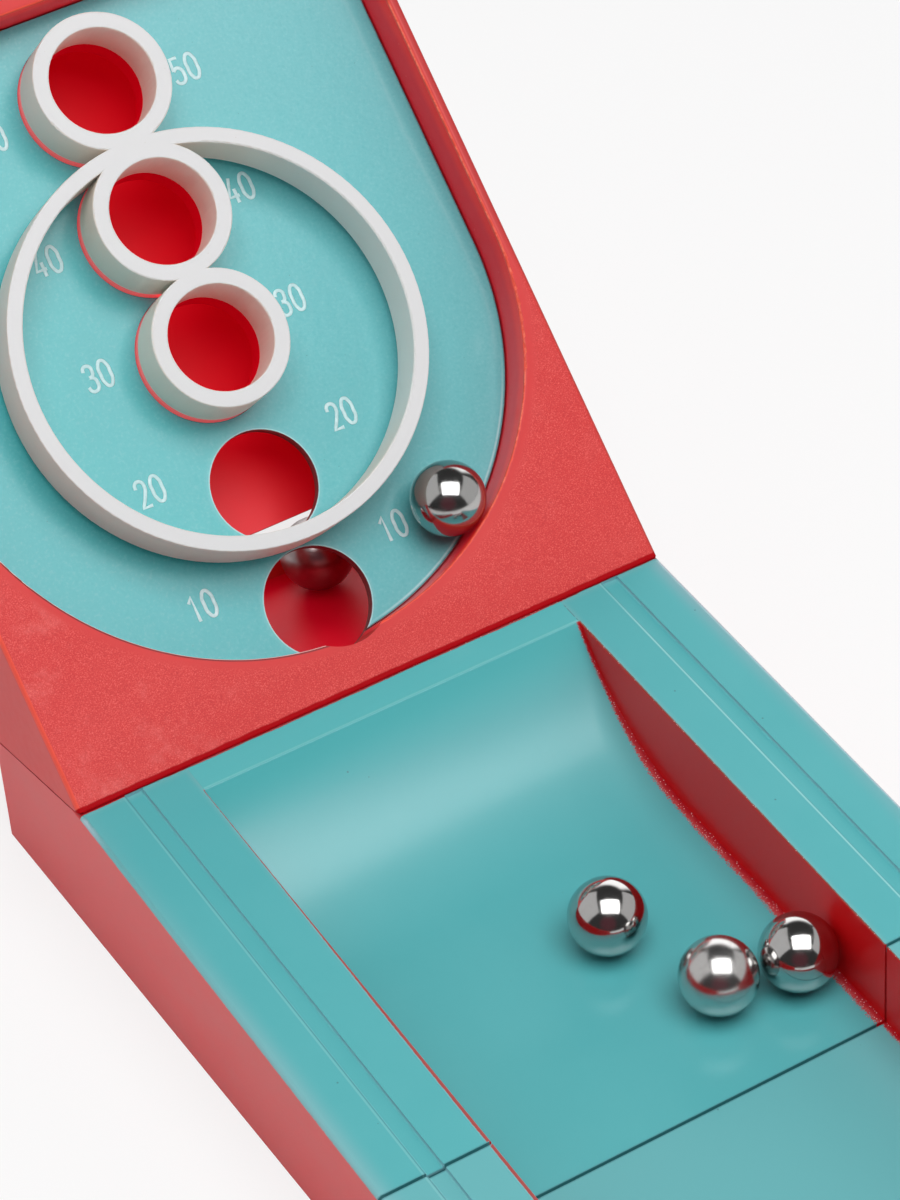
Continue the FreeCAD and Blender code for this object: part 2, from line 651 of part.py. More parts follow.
def score_rings():
    """Return the ring moulding: a big ring with three small rings in a chain."""
    low = BOARD_TOP + COLLAR_HEIGHT
    high = low + RING_HEIGHT
    big = target_cylinder(0, RING_30_PLACE, BIG_RING_OUTER_RADIUS, low, high)
    big = big.cut(target_cylinder(0, RING_30_PLACE, BIG_RING_BORE_RADIUS, low - 1, high + 1))
    big = round_circles(big, RING_EDGE_ROUND, (BIG_RING_OUTER_RADIUS, BIG_RING_BORE_RADIUS))
    body = big
    for place in RING_PLACES:
        outer = target_cylinder(0, place, RING_OUTER_RADIUS, low, high)
        body = body.fuse(round_circles(outer, RING_EDGE_ROUND, (RING_OUTER_RADIUS,)))
    body = body.cut([target_cylinder(0, place, RING_BORE_RADIUS, low - 1, high + 1)
                     for place in RING_PLACES])
    return only_solid(round_circles(body, RING_EDGE_ROUND, (RING_BORE_RADIUS,)))


def screw(x, seat, direction):
    """Return a pan-head screw whose head stands on the seat point, pointing against direction."""
    head = Part.makeCylinder(SCREW_HEAD_RADIUS, SCREW_HEAD_HEIGHT, seat, direction)
    rim = seat + direction * SCREW_HEAD_HEIGHT + x * SCREW_HEAD_RADIUS
    head = round_edges(head, SCREW_HEAD_ROUND, [rim])
    shank = Part.makeCylinder(SCREW_SHANK_RADIUS, SCREW_LENGTH, seat - direction * SCREW_LENGTH,
                              direction)
    body = head.fuse(shank)
    across = direction.cross(x)
    arms = []
    for along, side in ((x, across), (across, x)):
        corner = (seat + direction * (SCREW_HEAD_HEIGHT - SCREW_SLOT_DEPTH)
                  - along * (SCREW_HEAD_RADIUS * 0.55) - side * (SCREW_SLOT_WIDTH / 2))
        points = [corner, corner + along * (SCREW_HEAD_RADIUS * 1.1)]
        points.append(points[1] + side * SCREW_SLOT_WIDTH)
        points.append(points[0] + side * SCREW_SLOT_WIDTH)
        arms.append(Part.Face(Part.makePolygon(points + points[:1])).extrude(direction * 2))
    return only_solid(body.cut(arms).removeSplitter())


def back_screws():
    """Return the four screws that hold the back cover."""
    out = target_normal() * -1
    return [screw(FreeCAD.Vector(1, 0, 0), target_point(x, place, -HOUSING_DEPTH), out)
            for x, place in boss_places()]


def tray_screws():
    """Return the two screws that hold the ball tray to the deck."""
    up = FreeCAD.Vector(0, 0, 1)
    edge = TRAY_SCREW_PLACE - SCREW_HEAD_RADIUS
    top = parting_height(edge) + TRAY_FLANGE_THICKNESS
    return [screw(FreeCAD.Vector(1, 0, 0), vec(x, y, top), up) for x, y in tray_screw_places()]


def ball(centre):
    """Return one steel ball."""
    return Part.makeSphere(BALL_RADIUS, centre)


def balls():
    """Return the five loose balls where they lie: on the lane, the board and the tray."""
    lift = BALL_RADIUS + BALL_CLEARANCE
    made = {}
    for name, (x, y) in LANE_BALL_PLACES.items():
        along = (y - (LANE_DEPTH - lift) * math.sin(SLOPE)) / math.cos(SLOPE)
        made[name] = ball(slope_point(x, along, -LANE_DEPTH + lift))
    angle = math.radians(BOARD_BALL_ANGLE)
    reach = RECESS_RADIUS - lift
    made["ball_4"] = ball(target_point(reach * math.sin(angle),
                                       RECESS_CENTRE - reach * math.cos(angle), BOARD_TOP + lift))
    y = TRAY_REAR - BALL_RADIUS - TRAY_BALL_ROOM
    made["ball_5"] = ball(vec(TRAY_BALL_X, y, tray_floor(y) + lift / math.cos(PARTING)))
    return made


def parts():
    """Return every piece of the game as (node name, shape)."""
    made = {
        "rear_base": rear_base(),
        "front_base": front_base(),
        "ball_tray": ball_tray(),
        "target_housing": target_housing(),
        "housing_back": housing_back(),
        "target_board": target_board(),
        "score_rings": score_rings(),
        "back_screws": Part.makeCompound(back_screws()),
        "tray_screws": Part.makeCompound(tray_screws()),
    }
    made.update(balls())
    return made


def main():
    """Write each piece to its own STEP file."""
    os.makedirs("parts", exist_ok=True)
    for name, shape in parts().items():
        shape.exportStep("parts/%s.step" % name)
        bounds = shape.BoundBox
        print("%-16s solids %d volume %9.1f  x %7.2f %7.2f  y %7.2f %7.2f  z %7.2f %7.2f valid %s"
              % (name, len(shape.Solids), shape.Volume, bounds.XMin, bounds.XMax, bounds.YMin,
                 bounds.YMax, bounds.ZMin, bounds.ZMax, shape.isValid()))


main()
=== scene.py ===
"""Looks of the tabletop ball-rolling score game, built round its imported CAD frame.

Metres, in the CAD model's own frame: +X to the player's right, +Y away from the player, +Z up.
"""
from __future__ import annotations

import json
import logging
import math
from dataclasses import dataclass, field
from enum import Enum
from functools import cached_property

import bpy
from mathutils import Euler, Matrix, Vector

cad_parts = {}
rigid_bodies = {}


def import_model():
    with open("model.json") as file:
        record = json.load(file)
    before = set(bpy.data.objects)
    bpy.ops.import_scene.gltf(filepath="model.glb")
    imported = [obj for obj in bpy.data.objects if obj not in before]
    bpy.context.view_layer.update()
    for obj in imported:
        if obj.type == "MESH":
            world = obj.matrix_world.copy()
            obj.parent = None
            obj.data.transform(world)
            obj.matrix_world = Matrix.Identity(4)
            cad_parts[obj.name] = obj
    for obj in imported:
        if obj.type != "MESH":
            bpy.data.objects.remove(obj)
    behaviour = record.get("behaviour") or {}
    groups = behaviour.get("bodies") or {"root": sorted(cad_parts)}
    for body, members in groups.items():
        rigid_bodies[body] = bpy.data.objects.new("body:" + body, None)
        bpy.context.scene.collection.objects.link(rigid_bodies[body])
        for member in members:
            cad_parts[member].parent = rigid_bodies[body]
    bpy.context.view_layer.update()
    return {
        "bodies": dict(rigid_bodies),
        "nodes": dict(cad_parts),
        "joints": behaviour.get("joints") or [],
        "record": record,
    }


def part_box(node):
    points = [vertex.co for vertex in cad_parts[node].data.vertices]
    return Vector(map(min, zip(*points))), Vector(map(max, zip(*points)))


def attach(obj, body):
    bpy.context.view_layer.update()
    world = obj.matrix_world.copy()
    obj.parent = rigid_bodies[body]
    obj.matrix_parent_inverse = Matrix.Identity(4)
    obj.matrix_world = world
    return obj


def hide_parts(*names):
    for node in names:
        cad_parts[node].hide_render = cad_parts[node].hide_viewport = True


Colour = tuple[float, float, float]
Socket = bpy.types.NodeSocket
Material = bpy.types.Material
Thing = bpy.types.Object

LOG = logging.getLogger("score_game")
MM = 0.001
FAR = 1.0  # metres, farther out than any surface of the game
UP = Vector((0.0, 0.0, 1.0))
DOWN = Vector((0.0, 0.0, -1.0))


class Body(Enum):
    """The rigid bodies that the pieces ride on."""

    BASE = "base"
    FRONT = "front_section"
    TARGET = "target"
    TARGET_BALL = "target_ball"
    TRAY_BALL = "tray_ball"
    LANE_BALL_1 = "lane_ball_1"
    LANE_BALL_2 = "lane_ball_2"
    LANE_BALL_3 = "lane_ball_3"


class Slot(Enum):
    """The record's material slots."""

    RED = "red_plastic"
    BOARD = "turquoise_board"
    RING = "white_ring"
    BALL = "ball_steel"
    SCREW = "screw_steel"


@dataclass(frozen=True)
class Layout:
    """The game's main lines, shared by the pieces and the finishes.

    Attributes:
        foot_y: y of the target face's lower edge.
        foot_z: height of the target face's lower edge.
        rail_z: height of the rails where they meet the target.
        tilt: the target face's angle above the horizontal.
        slope: the lane's angle.
        lane_half: half the lane's width.
        half_width: half the game's width.
        rail_x: distance of a rail's middle line from the middle plane.
        rail_half: half a rail's width.
        groove_x: distance of a rail's groove from the middle plane.
        groove_half: half the groove's width, with its rounded rims.
        ramp_end: where the ramp's curve ends, measured up the slope from the target.
        face_length: length of the target face.
        box_depth: depth of the target box.
        board_out: how far the board's face lies out of the target face, negative below it.
        floor_front: the same for the front of the recess floor's edge.
        floor_back: the same for its back.
        collar_rim: the same for the collars' upper rims.
        ring_places: how far up the target face the small rings stand.
        hole_places: how far up the face the board's two open holes lie.
        hole_radius: radius of those holes and of the collars' bores.
        floor_hole_radius: radius of the holes in the recess floor.
        collar_radius: the collars' outer radius.
        recess_radius: half the recess's width, and the radius of its round lower end.
        recess_centre: how far up the face that round end has its centre.
        seam_y: y of the seam between the two lane sections.
    """

    foot_y: float = 16.165632 * MM
    foot_z: float = 25.9 * MM
    rail_z: float = 25.55 * MM
    tilt: float = math.radians(43.8)
    slope: float = math.radians(4.0)
    lane_half: float = 33.2 * MM
    half_width: float = 51.5 * MM
    rail_x: float = 42.45 * MM
    rail_half: float = 8.95 * MM
    groove_x: float = 42.275 * MM
    groove_half: float = 1.56 * MM
    ramp_end: float = -5.3 * MM
    face_length: float = 120.0 * MM
    box_depth: float = 24.5 * MM
    board_out: float = -8.6 * MM
    floor_front: float = -9.4 * MM
    floor_back: float = -10.7 * MM
    collar_rim: float = -6.84 * MM
    ring_places: tuple[float, ...] = (57.5 * MM, 78.95 * MM, 101.1 * MM)
    hole_places: tuple[float, ...] = (15.3 * MM, 35.2 * MM)
    hole_radius: float = 8.76 * MM
    floor_hole_radius: float = 9.6 * MM
    collar_radius: float = 11.7 * MM
    recess_radius: float = 49.6 * MM
    recess_centre: float = 57.5 * MM
    seam_y: float = -69.484368 * MM

    def target_point(self, x: float, place: float, out: float) -> Vector:
        """Return a point by its place up the target face and its height out of it.

        Args:
            x: distance to the right of the middle plane.
            place: distance up the face from its lower edge.
            out: distance out of the face.

        Returns:
            The point in the game's frame.
        """
        y = place * math.cos(self.tilt) - out * math.sin(self.tilt)
        z = place * math.sin(self.tilt) + out * math.cos(self.tilt)
        return Vector((x, self.foot_y + y, self.foot_z + z))

    def target_normal(self) -> Vector:
        """Return the unit vector out of the target face."""
        return Vector((0.0, -math.sin(self.tilt), math.cos(self.tilt)))

    def target_up(self) -> Vector:
        """Return the unit vector up the target face."""
        return Vector((0.0, math.cos(self.tilt), math.sin(self.tilt)))

    def slope_normal(self) -> Vector:
        """Return the unit vector out of the lane and the rails."""
        return Vector((0.0, -math.sin(self.slope), math.cos(self.slope)))

    def slope_forward(self) -> Vector:
        """Return the unit vector up the lane."""
        return Vector((0.0, math.cos(self.slope), math.sin(self.slope)))

    def rail_origin(self) -> Vector:
        """Return the point where the rails' plane meets the target, in the middle."""
        return Vector((0.0, self.foot_y, self.rail_z))


LAYOUT = Layout()


class Tree:
    """A node tree, with short calls for its plain nodes."""

    def __init__(self, tree: bpy.types.NodeTree) -> None:
        """Empty the tree.

        Args:
            tree: the node tree.
        """
        self.tree = tree
        self.tree.nodes.clear()

    def link(self, value: object, socket: Socket) -> None:
        """Join an output to a socket, or set the socket to a plain value.

        Args:
            value: an output socket, a number or a tuple.
            socket: the input socket.
        """
        if isinstance(value, Socket):
            self.tree.links.new(value, socket)
        else:
            socket.default_value = value

    def paint(self, colour: object, socket: Socket) -> None:
        """Join a colour output to a socket, or set the socket to a plain colour.

        Args:
            colour: an output socket or a colour.
            socket: the input socket.
        """
        self.link(colour if isinstance(colour, Socket) else (*colour, 1.0), socket)

    def math(self, operation: str, first: object, second: object = 0.0, third: object = 0.0,
             clamp: bool = False) -> Socket:
        """Return the result of a math node.

        Args:
            operation: the node's operation.
            first: first value.
            second: second value.
            third: third value, where the operation takes one.
            clamp: whether the result is held between 0 and 1.

        Returns:
            The node's output.
        """
        node = self.tree.nodes.new("ShaderNodeMath")
        node.operation = operation
        node.use_clamp = clamp
        for value, socket in zip((first, second, third), node.inputs):
            self.link(value, socket)
        return node.outputs[0]

    def both(self, *masks: Socket) -> Socket:
        """Return where several masks all show.

        Args:
            masks: the masks.

        Returns:
            Their product.
        """
        total = masks[0]
        for mask in masks[1:]:
            total = self.math("MULTIPLY", total, mask)
        return total

    def inverse(self, mask: Socket) -> Socket:
        """Return a mask's opposite."""
        return self.math("SUBTRACT", 1.0, mask)

    def shifted(self, value: object, pattern: object, amount: object) -> Socket:
        """Return a value with a pattern added to it.

        Args:
            value: the value.
            pattern: the pattern.
            amount: what the pattern is multiplied by.

        Returns:
            The sum's output.
        """
        return self.math("MULTIPLY_ADD", pattern, amount, value)

    def ramp(self, value: object, low: float, high: float, start: object = 0.0,
             end: object = 1.0) -> Socket:
        """Return a smooth step of a value.

        Args:
            value: what is stepped.
            low: where the step begins.
            high: where it ends.
            start: the result below low.
            end: the result above high.

        Returns:
            The step's output.
        """
        node = self.tree.nodes.new("ShaderNodeMapRange")
        node.interpolation_type = "SMOOTHSTEP"
        for value_in, socket in zip((value, low, high, start, end), node.inputs):
            self.link(value_in, socket)
        return node.outputs[0]

    def fall(self, value: object, low: float, high: float) -> Socket:
        """Return a smooth step from 1 below low to 0 above high."""
        return self.ramp(value, low, high, 1.0, 0.0)

    def beyond(self, value: object, edge: float, soft: float) -> Socket:
        """Return where a value is above an edge, which is softened by so much to each side."""
        return self.ramp(value, edge - soft, edge + soft)

    def short_of(self, value: object, edge: float, soft: float) -> Socket:
        """Return where a value is below an edge, which is softened by so much to each side."""
        return self.fall(value, edge - soft, edge + soft)

    def band(self, value: object, middle: float, half: float, soft: float = 0.05 * MM) -> Socket:
        """Return where a value lies within a band.

        Args:
            value: what is tested.
            middle: the band's middle.
            half: half the band's width.
            soft: half the width of its soft edges.

        Returns:
            A mask.
        """
        away = self.math("ABSOLUTE", self.math("SUBTRACT", value, middle))
        return self.short_of(away, half, soft)

    def dot(self, vector: Socket, direction: Vector) -> Socket:
        """Return the dot product of a vector and a fixed direction.

        Args:
            vector: the vector's output.
            direction: the direction.

        Returns:
            The product's output.
        """
        node = self.tree.nodes.new("ShaderNodeVectorMath")
        node.operation = "DOT_PRODUCT"
        self.link(vector, node.inputs[0])
        node.inputs[1].default_value = direction
        return node.outputs["Value"]

    def colour(self, factor: object, below: object, above: object) -> Socket:
        """Return one colour laid over another.

        Args:
            factor: how much of the upper colour shows.
            below: lower colour.
            above: upper colour.

        Returns:
            The mixed colour's output.
        """
        node = self.tree.nodes.new("ShaderNodeMix")
        node.data_type = "RGBA"
        factor_socket, below_socket, above_socket = node.inputs[0], node.inputs[6], node.inputs[7]
        self.link(factor, factor_socket)
        self.paint(below, below_socket)
        self.paint(above, above_socket)
        return node.outputs[2]

    def layer(self, mask: Socket, strength: float, below: object, above: object) -> Socket:
        """Return one colour laid over another where a mask shows it.

        Args:
            mask: where the upper colour lies.
            strength: how strongly it covers there.
            below: lower colour.
            above: upper colour.

        Returns:
            The mixed colour's output.
        """
        return self.colour(self.math("MULTIPLY", mask, strength), below, above)


class Sheet(Tree):
    """A material's node tree, with short calls for the nodes that the finishes need."""

    def __init__(self, name: str) -> None:
        """Start a material.

        Args:
            name: the material's name.
        """
        self.material = bpy.data.materials.new(name)
        self.material.use_nodes = True
        super().__init__(self.material.node_tree)
        self.output = self.tree.nodes.new("ShaderNodeOutputMaterial")
        coordinates = self.tree.nodes.new("ShaderNodeTexCoord")
        self.place = coordinates.outputs["Object"]
        self._normal = coordinates.outputs["Normal"]
        split = self.tree.nodes.new("ShaderNodeSeparateXYZ")
        self.tree.links.new(self.place, split.inputs[0])
        self.across, self.away, _ = split.outputs

    @cached_property
    def side(self) -> Socket:
        """The surface's distance from the middle plane."""
        return self.math("ABSOLUTE", self.across)

    def right_half(self) -> Socket:
        """Return where the surface is to the right of the middle plane."""
        return self.beyond(self.across, 0.0, 1.0 * MM)

    def left_half(self) -> Socket:
        """Return where the surface is to the left of the middle plane."""
        return self.short_of(self.across, 0.0, 1.0 * MM)

    def height(self, origin: Vector, normal: Vector) -> Socket:
        """Return the surface's distance from a plane.

        Args:
            origin: a point of the plane.
            normal: the plane's normal.

        Returns:
            The signed distance as an output.
        """
        return self.math("SUBTRACT", self.dot(self.place, normal), origin.dot(normal))

    @cached_property
    def up_face(self) -> Socket:
        """The surface's place up the target face from the face's lower edge."""
        return self.height(LAYOUT.target_point(0.0, 0.0, 0.0), LAYOUT.target_up())

    @cached_property
    def out(self) -> Socket:
        """The surface's height out of the target face, negative below it."""
        return self.height(LAYOUT.target_point(0.0, 0.0, 0.0), LAYOUT.target_normal())

    @cached_property
    def along(self) -> Socket:
        """The surface's distance up the slope from the target, negative on the lane."""
        return self.height(LAYOUT.rail_origin(), LAYOUT.slope_forward())

    @cached_property
    def above_rails(self) -> Socket:
        """The surface's height above the rails' plane."""
        return self.height(LAYOUT.rail_origin(), LAYOUT.slope_normal())

    def facing(self, direction: Vector) -> Socket:
        """Return how squarely the surface faces a direction, as a cosine."""
        return self.dot(self._normal, direction)

    def from_recess(self) -> Socket:
        """Return the distance outwards from the recess's outline.

        Returns:
            The distance, negative inside the recess.
        """
        above_centre = self.math("SUBTRACT", self.up_face, LAYOUT.recess_centre)
        below = self.math("MINIMUM", above_centre, 0.0)
        across = self.across
        reach = self.math("SQRT", self.math("ADD", self.math("MULTIPLY", below, below),
                                            self.math("MULTIPLY", across, across)))
        return self.math("SUBTRACT", reach, LAYOUT.recess_radius)

    @cached_property
    def from_rings(self) -> Socket:
        """The distance from the nearest small ring's axis."""
        return self.from_axes(LAYOUT.ring_places)

    @cached_property
    def from_holes(self) -> Socket:
        """The distance from the axis of the nearer of the board's open holes."""
        return self.from_axes(LAYOUT.hole_places)

    def from_axes(self, places: tuple[float, ...]) -> Socket:
        """Return the distance from the nearest of several axes square to the target face.

        Args:
            places: how far up the face each axis stands, in its middle plane.

        Returns:
            The distance as an output.
        """
        place = self.up_face
        across = self.math("MULTIPLY", self.across, self.across)
        nearest = None
        for axis in places:
            gap = self.math("SUBTRACT", place, axis)
            gap = self.math("SQRT", self.math("ADD", self.math("MULTIPLY", gap, gap), across))
            nearest = gap if nearest is None else self.math("MINIMUM", nearest, gap)
        return nearest

    def noise(self, scale: float, detail: float = 2.0, roughness: float = 0.5,
              stretch: tuple[float, float, float] = (1.0, 1.0, 1.0),
              offset: float = 0.0) -> Socket:
        """Return a noise pattern's value.

        Args:
            scale: cells per metre.
            detail: number of finer layers.
            roughness: strength of the finer layers.
            stretch: scale along each axis.
            offset: shift that makes the pattern differ from another.

        Returns:
            The pattern's output, about 0.5 in the middle.
        """
        turn = self.tree.nodes.new("ShaderNodeMapping")
        self.link(self.place, turn.inputs["Vector"])
        turn.inputs["Scale"].default_value = stretch
        turn.inputs["Location"].default_value = (offset, offset * 0.7, -offset)
        node = self.tree.nodes.new("ShaderNodeTexNoise")
        self.link(turn.outputs[0], node.inputs["Vector"])
        node.inputs["Scale"].default_value = scale
        node.inputs["Detail"].default_value = detail
        node.inputs["Roughness"].default_value = roughness
        return node.outputs[0]

    def drift(self, scale: float, detail: float = 2.0, roughness: float = 0.5,
              offset: float = 0.0) -> Socket:
        """Return a noise pattern that swings to both sides of 0.

        Args:
            scale: cells per metre.
            detail: number of finer layers.
            roughness: strength of the finer layers.
            offset: shift that makes the pattern differ from another.

        Returns:
            The pattern's output.
        """
        return self.math("SUBTRACT", self.noise(scale, detail, roughness, offset=offset), 0.5)

    def specks(self, scale: float, size: float) -> Socket:
        """Return small sparse dots.

        Args:
            scale: cells per metre.
            size: dot radius as a part of a cell.

        Returns:
            An output that is 1 in a dot and 0 elsewhere.
        """
        node = self.tree.nodes.new("ShaderNodeTexVoronoi")
        self.link(self.place, node.inputs["Vector"])
        node.inputs["Scale"].default_value = scale
        return self.fall(node.outputs["Distance"], size * 0.6, size)

    def bump(self, height: object, distance: float, below: Socket | None = None) -> Socket:
        """Return a normal raised by a height pattern.

        Args:
            height: the pattern.
            distance: depth of a full step of the pattern.
            below: a normal to build on.

        Returns:
            The normal's output.
        """
        node = self.tree.nodes.new("ShaderNodeBump")
        node.inputs["Strength"].default_value = 1.0
        node.inputs["Distance"].default_value = distance
        self.link(height, node.inputs["Height"])
        if below is not None:
            self.link(below, node.inputs["Normal"])
        return node.outputs[0]

    def finish(self, colour: object, roughness: object, normal: Socket, metallic: float = 0.0,
               coat: object = 0.0, coat_roughness: float = 0.1, haze: object = 0.5,
               tint: Socket | None = None, glow: object = 0.0) -> Material:
        """Close the material with its surface shader.

        Args:
            colour: base colour.
            roughness: roughness.
            normal: normal output.
            metallic: 1 for metal.
            coat: strength of a clear layer.
            coat_roughness: roughness of the clear layer.
            haze: strength of the surface's own reflection.
            tint: colour of a painted glow that stands for light through the surface, or None.
            glow: strength of that painted glow.

        Returns:
            The finished material.
        """
        shader = self.tree.nodes.new("ShaderNodeBsdfPrincipled")
        self.paint(colour, shader.inputs["Base Color"])
        self.link(roughness, shader.inputs["Roughness"])
        self.link(metallic, shader.inputs["Metallic"])
        self.link(coat, shader.inputs["Coat Weight"])
        self.link(coat_roughness, shader.inputs["Coat Roughness"])
        self.link(haze, shader.inputs["Specular IOR Level"])
        self.link(normal, shader.inputs["Normal"])
        self.link(normal, shader.inputs["Coat Normal"])
        if tint is not None:
            self.link(tint, shader.inputs["Emission Color"])
            self.link(glow, shader.inputs["Emission Strength"])
        self.tree.links.new(shader.outputs[0], self.output.inputs["Surface"])
        return self.material


@dataclass(frozen=True)
class MouldedRed:
    """Red moulded plastic with a leathery grain on its show face and a deep colour inside, with
    painted highlights, painted shade and a painted glow.

    Attributes:
        name: the material's name.
        red: the plastic's colour.
        pale: the colour of its faint flow marks.
        raised: the colour of the grain's raised cells.
        sunk: the colour between them.
        scuff_and_sheen: the colour of its scuffs, with painted sheen.
        edge: the painted highlight on its rounded edges.
        edge_right: that painted highlight, darkened to painted shade at the face's right outer
            edge.
        cheek: the colour of the smooth strips beside the recess's straight sides.
        cheek_highlight: the painted highlight along the middle of those strips.
        lit_line: the painted highlight along the recess's right edge.
        edge_shadow_line: the painted shadow line round the recess's left edge.
        edge_highlight_line: the painted highlight line inside the painted shadow line.
        foot: the painted shade along the face's lower edge.
        wall_shaded_low: the recess wall's painted shade at the board.
        wall_lit_high: the recess wall's painted light at its upper edge.
        wall_dot: the colour of the wall's specks.
        collar: the colour of the collars' outer sides, painted lighter as painted light.
        bore: the colour of the collars' bores.
        shaded_hole_wall: the painted shade on the floor's edge under the board's holes.
        deep: its colour inside the box, where a painted glow stands for light through the walls.
        light: the colour of that painted glow.
        collar_light: the same in the collars.
        glow: how strong the painted glow is inside the box.
        wall_glow: how strong it is on the recess wall.
        collar_glow: how strong it is on the collars.
        roughness: its roughness.
        grain: depth of the grain.
        ripple: depth of the slow unevenness under it.
        haze: strength of its own reflection.
        inside_haze: the same inside the box.
        low_haze: what is added to that in the box's lower part.
        all_inside: whether the piece's whole upper side lies inside the box.
    """

    name: str = "moulded_red"
    red: Colour = (0.62, 0.019, 0.018)
    pale: Colour = (0.67, 0.040, 0.036)
    raised: Colour = (0.84, 0.15, 0.12)
    sunk: Colour = (0.47, 0.006, 0.008)
    scuff_and_sheen: Colour = (0.78, 0.17, 0.15)
    edge: Colour = (0.86, 0.085, 0.045)
    edge_right: Colour = (0.46, 0.030, 0.022)
    cheek: Colour = (0.46, 0.020, 0.020)
    cheek_highlight: Colour = (0.76, 0.10, 0.09)
    lit_line: Colour = (1.0, 0.26, 0.17)
    edge_shadow_line: Colour = (0.14, 0.012, 0.016)
    edge_highlight_line: Colour = (0.72, 0.80, 0.82)
    foot: Colour = (0.40, 0.002, 0.006)
    wall_shaded_low: Colour = (0.74, 0.012, 0.026)
    wall_lit_high: Colour = (0.92, 0.022, 0.014)
    wall_dot: Colour = (0.95, 0.45, 0.38)
    collar: Colour = (0.95, 0.15, 0.15)
    bore: Colour = (0.62, 0.0002, 0.008)
    shaded_hole_wall: Colour = (0.15, 0.045, 0.045)
    deep: Colour = (0.70, 0.0004, 0.010)
    light: Colour = (1.0, 0.0, 0.020)
    collar_light: Colour = (1.0, 0.11, 0.12)
    glow: float = 0.115
    wall_glow: float = 0.10
    collar_glow: float = 0.36
    roughness: float = 0.42
    grain: float = 0.045 * MM
    ripple: float = 0.012 * MM
    haze: float = 0.5
    inside_haze: float = 0.2
    low_haze: float = 0.35
    all_inside: bool = False

    def build(self) -> Material:
        """Make the material.

        Returns:
            The material.
        """
        sheet = Sheet(self.name)
        show = sheet.ramp(sheet.out, -0.6 * MM, -0.2 * MM)
        grainy = sheet.both(show, sheet.ramp(sheet.from_recess(), 0.9 * MM, 2.4 * MM))
        cells = sheet.noise(5200.0, 1.0, 0.5)
        coarse = sheet.noise(620.0, 2.0, 0.5, offset=0.3)
        inside = self._inside(sheet)
        bore = self._bore(sheet)
        wall, collar = self._walls(sheet)
        # Painted shade along the face's lower edge.
        foot = self._foot_shade(sheet)
        # Where the floor's edge under the holes gets painted shade.
        hole = self._hole_edge(sheet)
        colour = self._skin(sheet, grainy, cells, coarse)
        # Lays on, in turn: the recess wall with its painted light and shade, the collars painted
        # lighter, the painted shade along the face's lower edge, the deep inside colour, the
        # bores, and the painted shade on the floor's edge under the holes.
        for mask, above in ((wall, self._wall_colour(sheet)), (collar, self.collar),
                            (foot, self.foot), (inside, self.deep), (bore, self.bore),
                            (hole, self.shaded_hole_wall)):
            colour = sheet.colour(mask, colour, above)
        rough = sheet.shifted(sheet.shifted(self.roughness, show, 0.08), coarse, 0.08)
        relief = sheet.math("MULTIPLY", sheet.shifted(cells, coarse, 0.5), grainy)
        normal = sheet.bump(relief, self.grain)
        normal = sheet.bump(sheet.noise(220.0, 2.0, 0.5, offset=0.9), self.ripple, normal)
        low = sheet.fall(sheet.up_face, 22.0 * MM, 48.0 * MM)
        # Less reflection on the bores and on the painted shade along the face's lower edge.
        dark = sheet.math("MULTIPLY_ADD", bore, 0.6, foot, clamp=True)
        haze = self._reflection(sheet, low, inside, wall, dark)
        open_inside = sheet.both(inside, sheet.inverse(hole))
        glow = self._glow(sheet, low, open_inside, wall, collar)
        # Colour of the painted glow, pinker on the collars.
        tint = sheet.colour(collar, self.light, self.collar_light)
        return sheet.finish(colour, rough, normal, haze=haze, tint=tint, glow=glow)

    def _reflection(self, sheet: Sheet, low: Socket, inside: Socket, wall: Socket,
                    dark: Socket) -> Socket:
        """Return how strongly the surface reflects.

        Args:
            sheet: the material.
            low: where the box's lower part is.
            inside: where the surface lies inside the box.
            wall: where the recess's wall is.
            dark: where the bores and the face's lower edge are.

        Returns:
            The strength.
        """
        sheen = sheet.shifted(self.inside_haze, low, self.low_haze)
        haze = sheet.shifted(self.haze, sheet.math("SUBTRACT", sheen, self.haze), inside)
        wall_sheen = sheet.ramp(sheet.up_face, 30.0 * MM, 58.0 * MM, 0.9, -0.3)
        return sheet.both(haze, sheet.ramp(dark, 0.0, 1.0, 1.0, 0.1),
                          sheet.shifted(1.0, wall, wall_sheen))

    def _glow(self, sheet: Sheet, low: Socket, inside: Socket, wall: Socket,
              collar: Socket) -> Socket:
        """Return the strength of the painted glow that stands for light coming through the
        plastic.

        Args:
            sheet: the material.
            low: where the box's lower part is.
            inside: where the surface lies inside the box, without the edges under the holes.
            wall: where the recess's wall is.
            collar: where the collars' outer sides are.

        Returns:
            The strength.
        """
        dimmer = sheet.shifted(1.0, low, -0.45)
        light = sheet.math("MULTIPLY", sheet.both(inside, dimmer), self.glow)
        above_board = sheet.ramp(sheet.out, LAYOUT.board_out, LAYOUT.board_out + 0.4 * MM)
        light = sheet.shifted(light, sheet.both(wall, above_board), self.wall_glow)
        return sheet.shifted(light, collar, self.collar_glow)

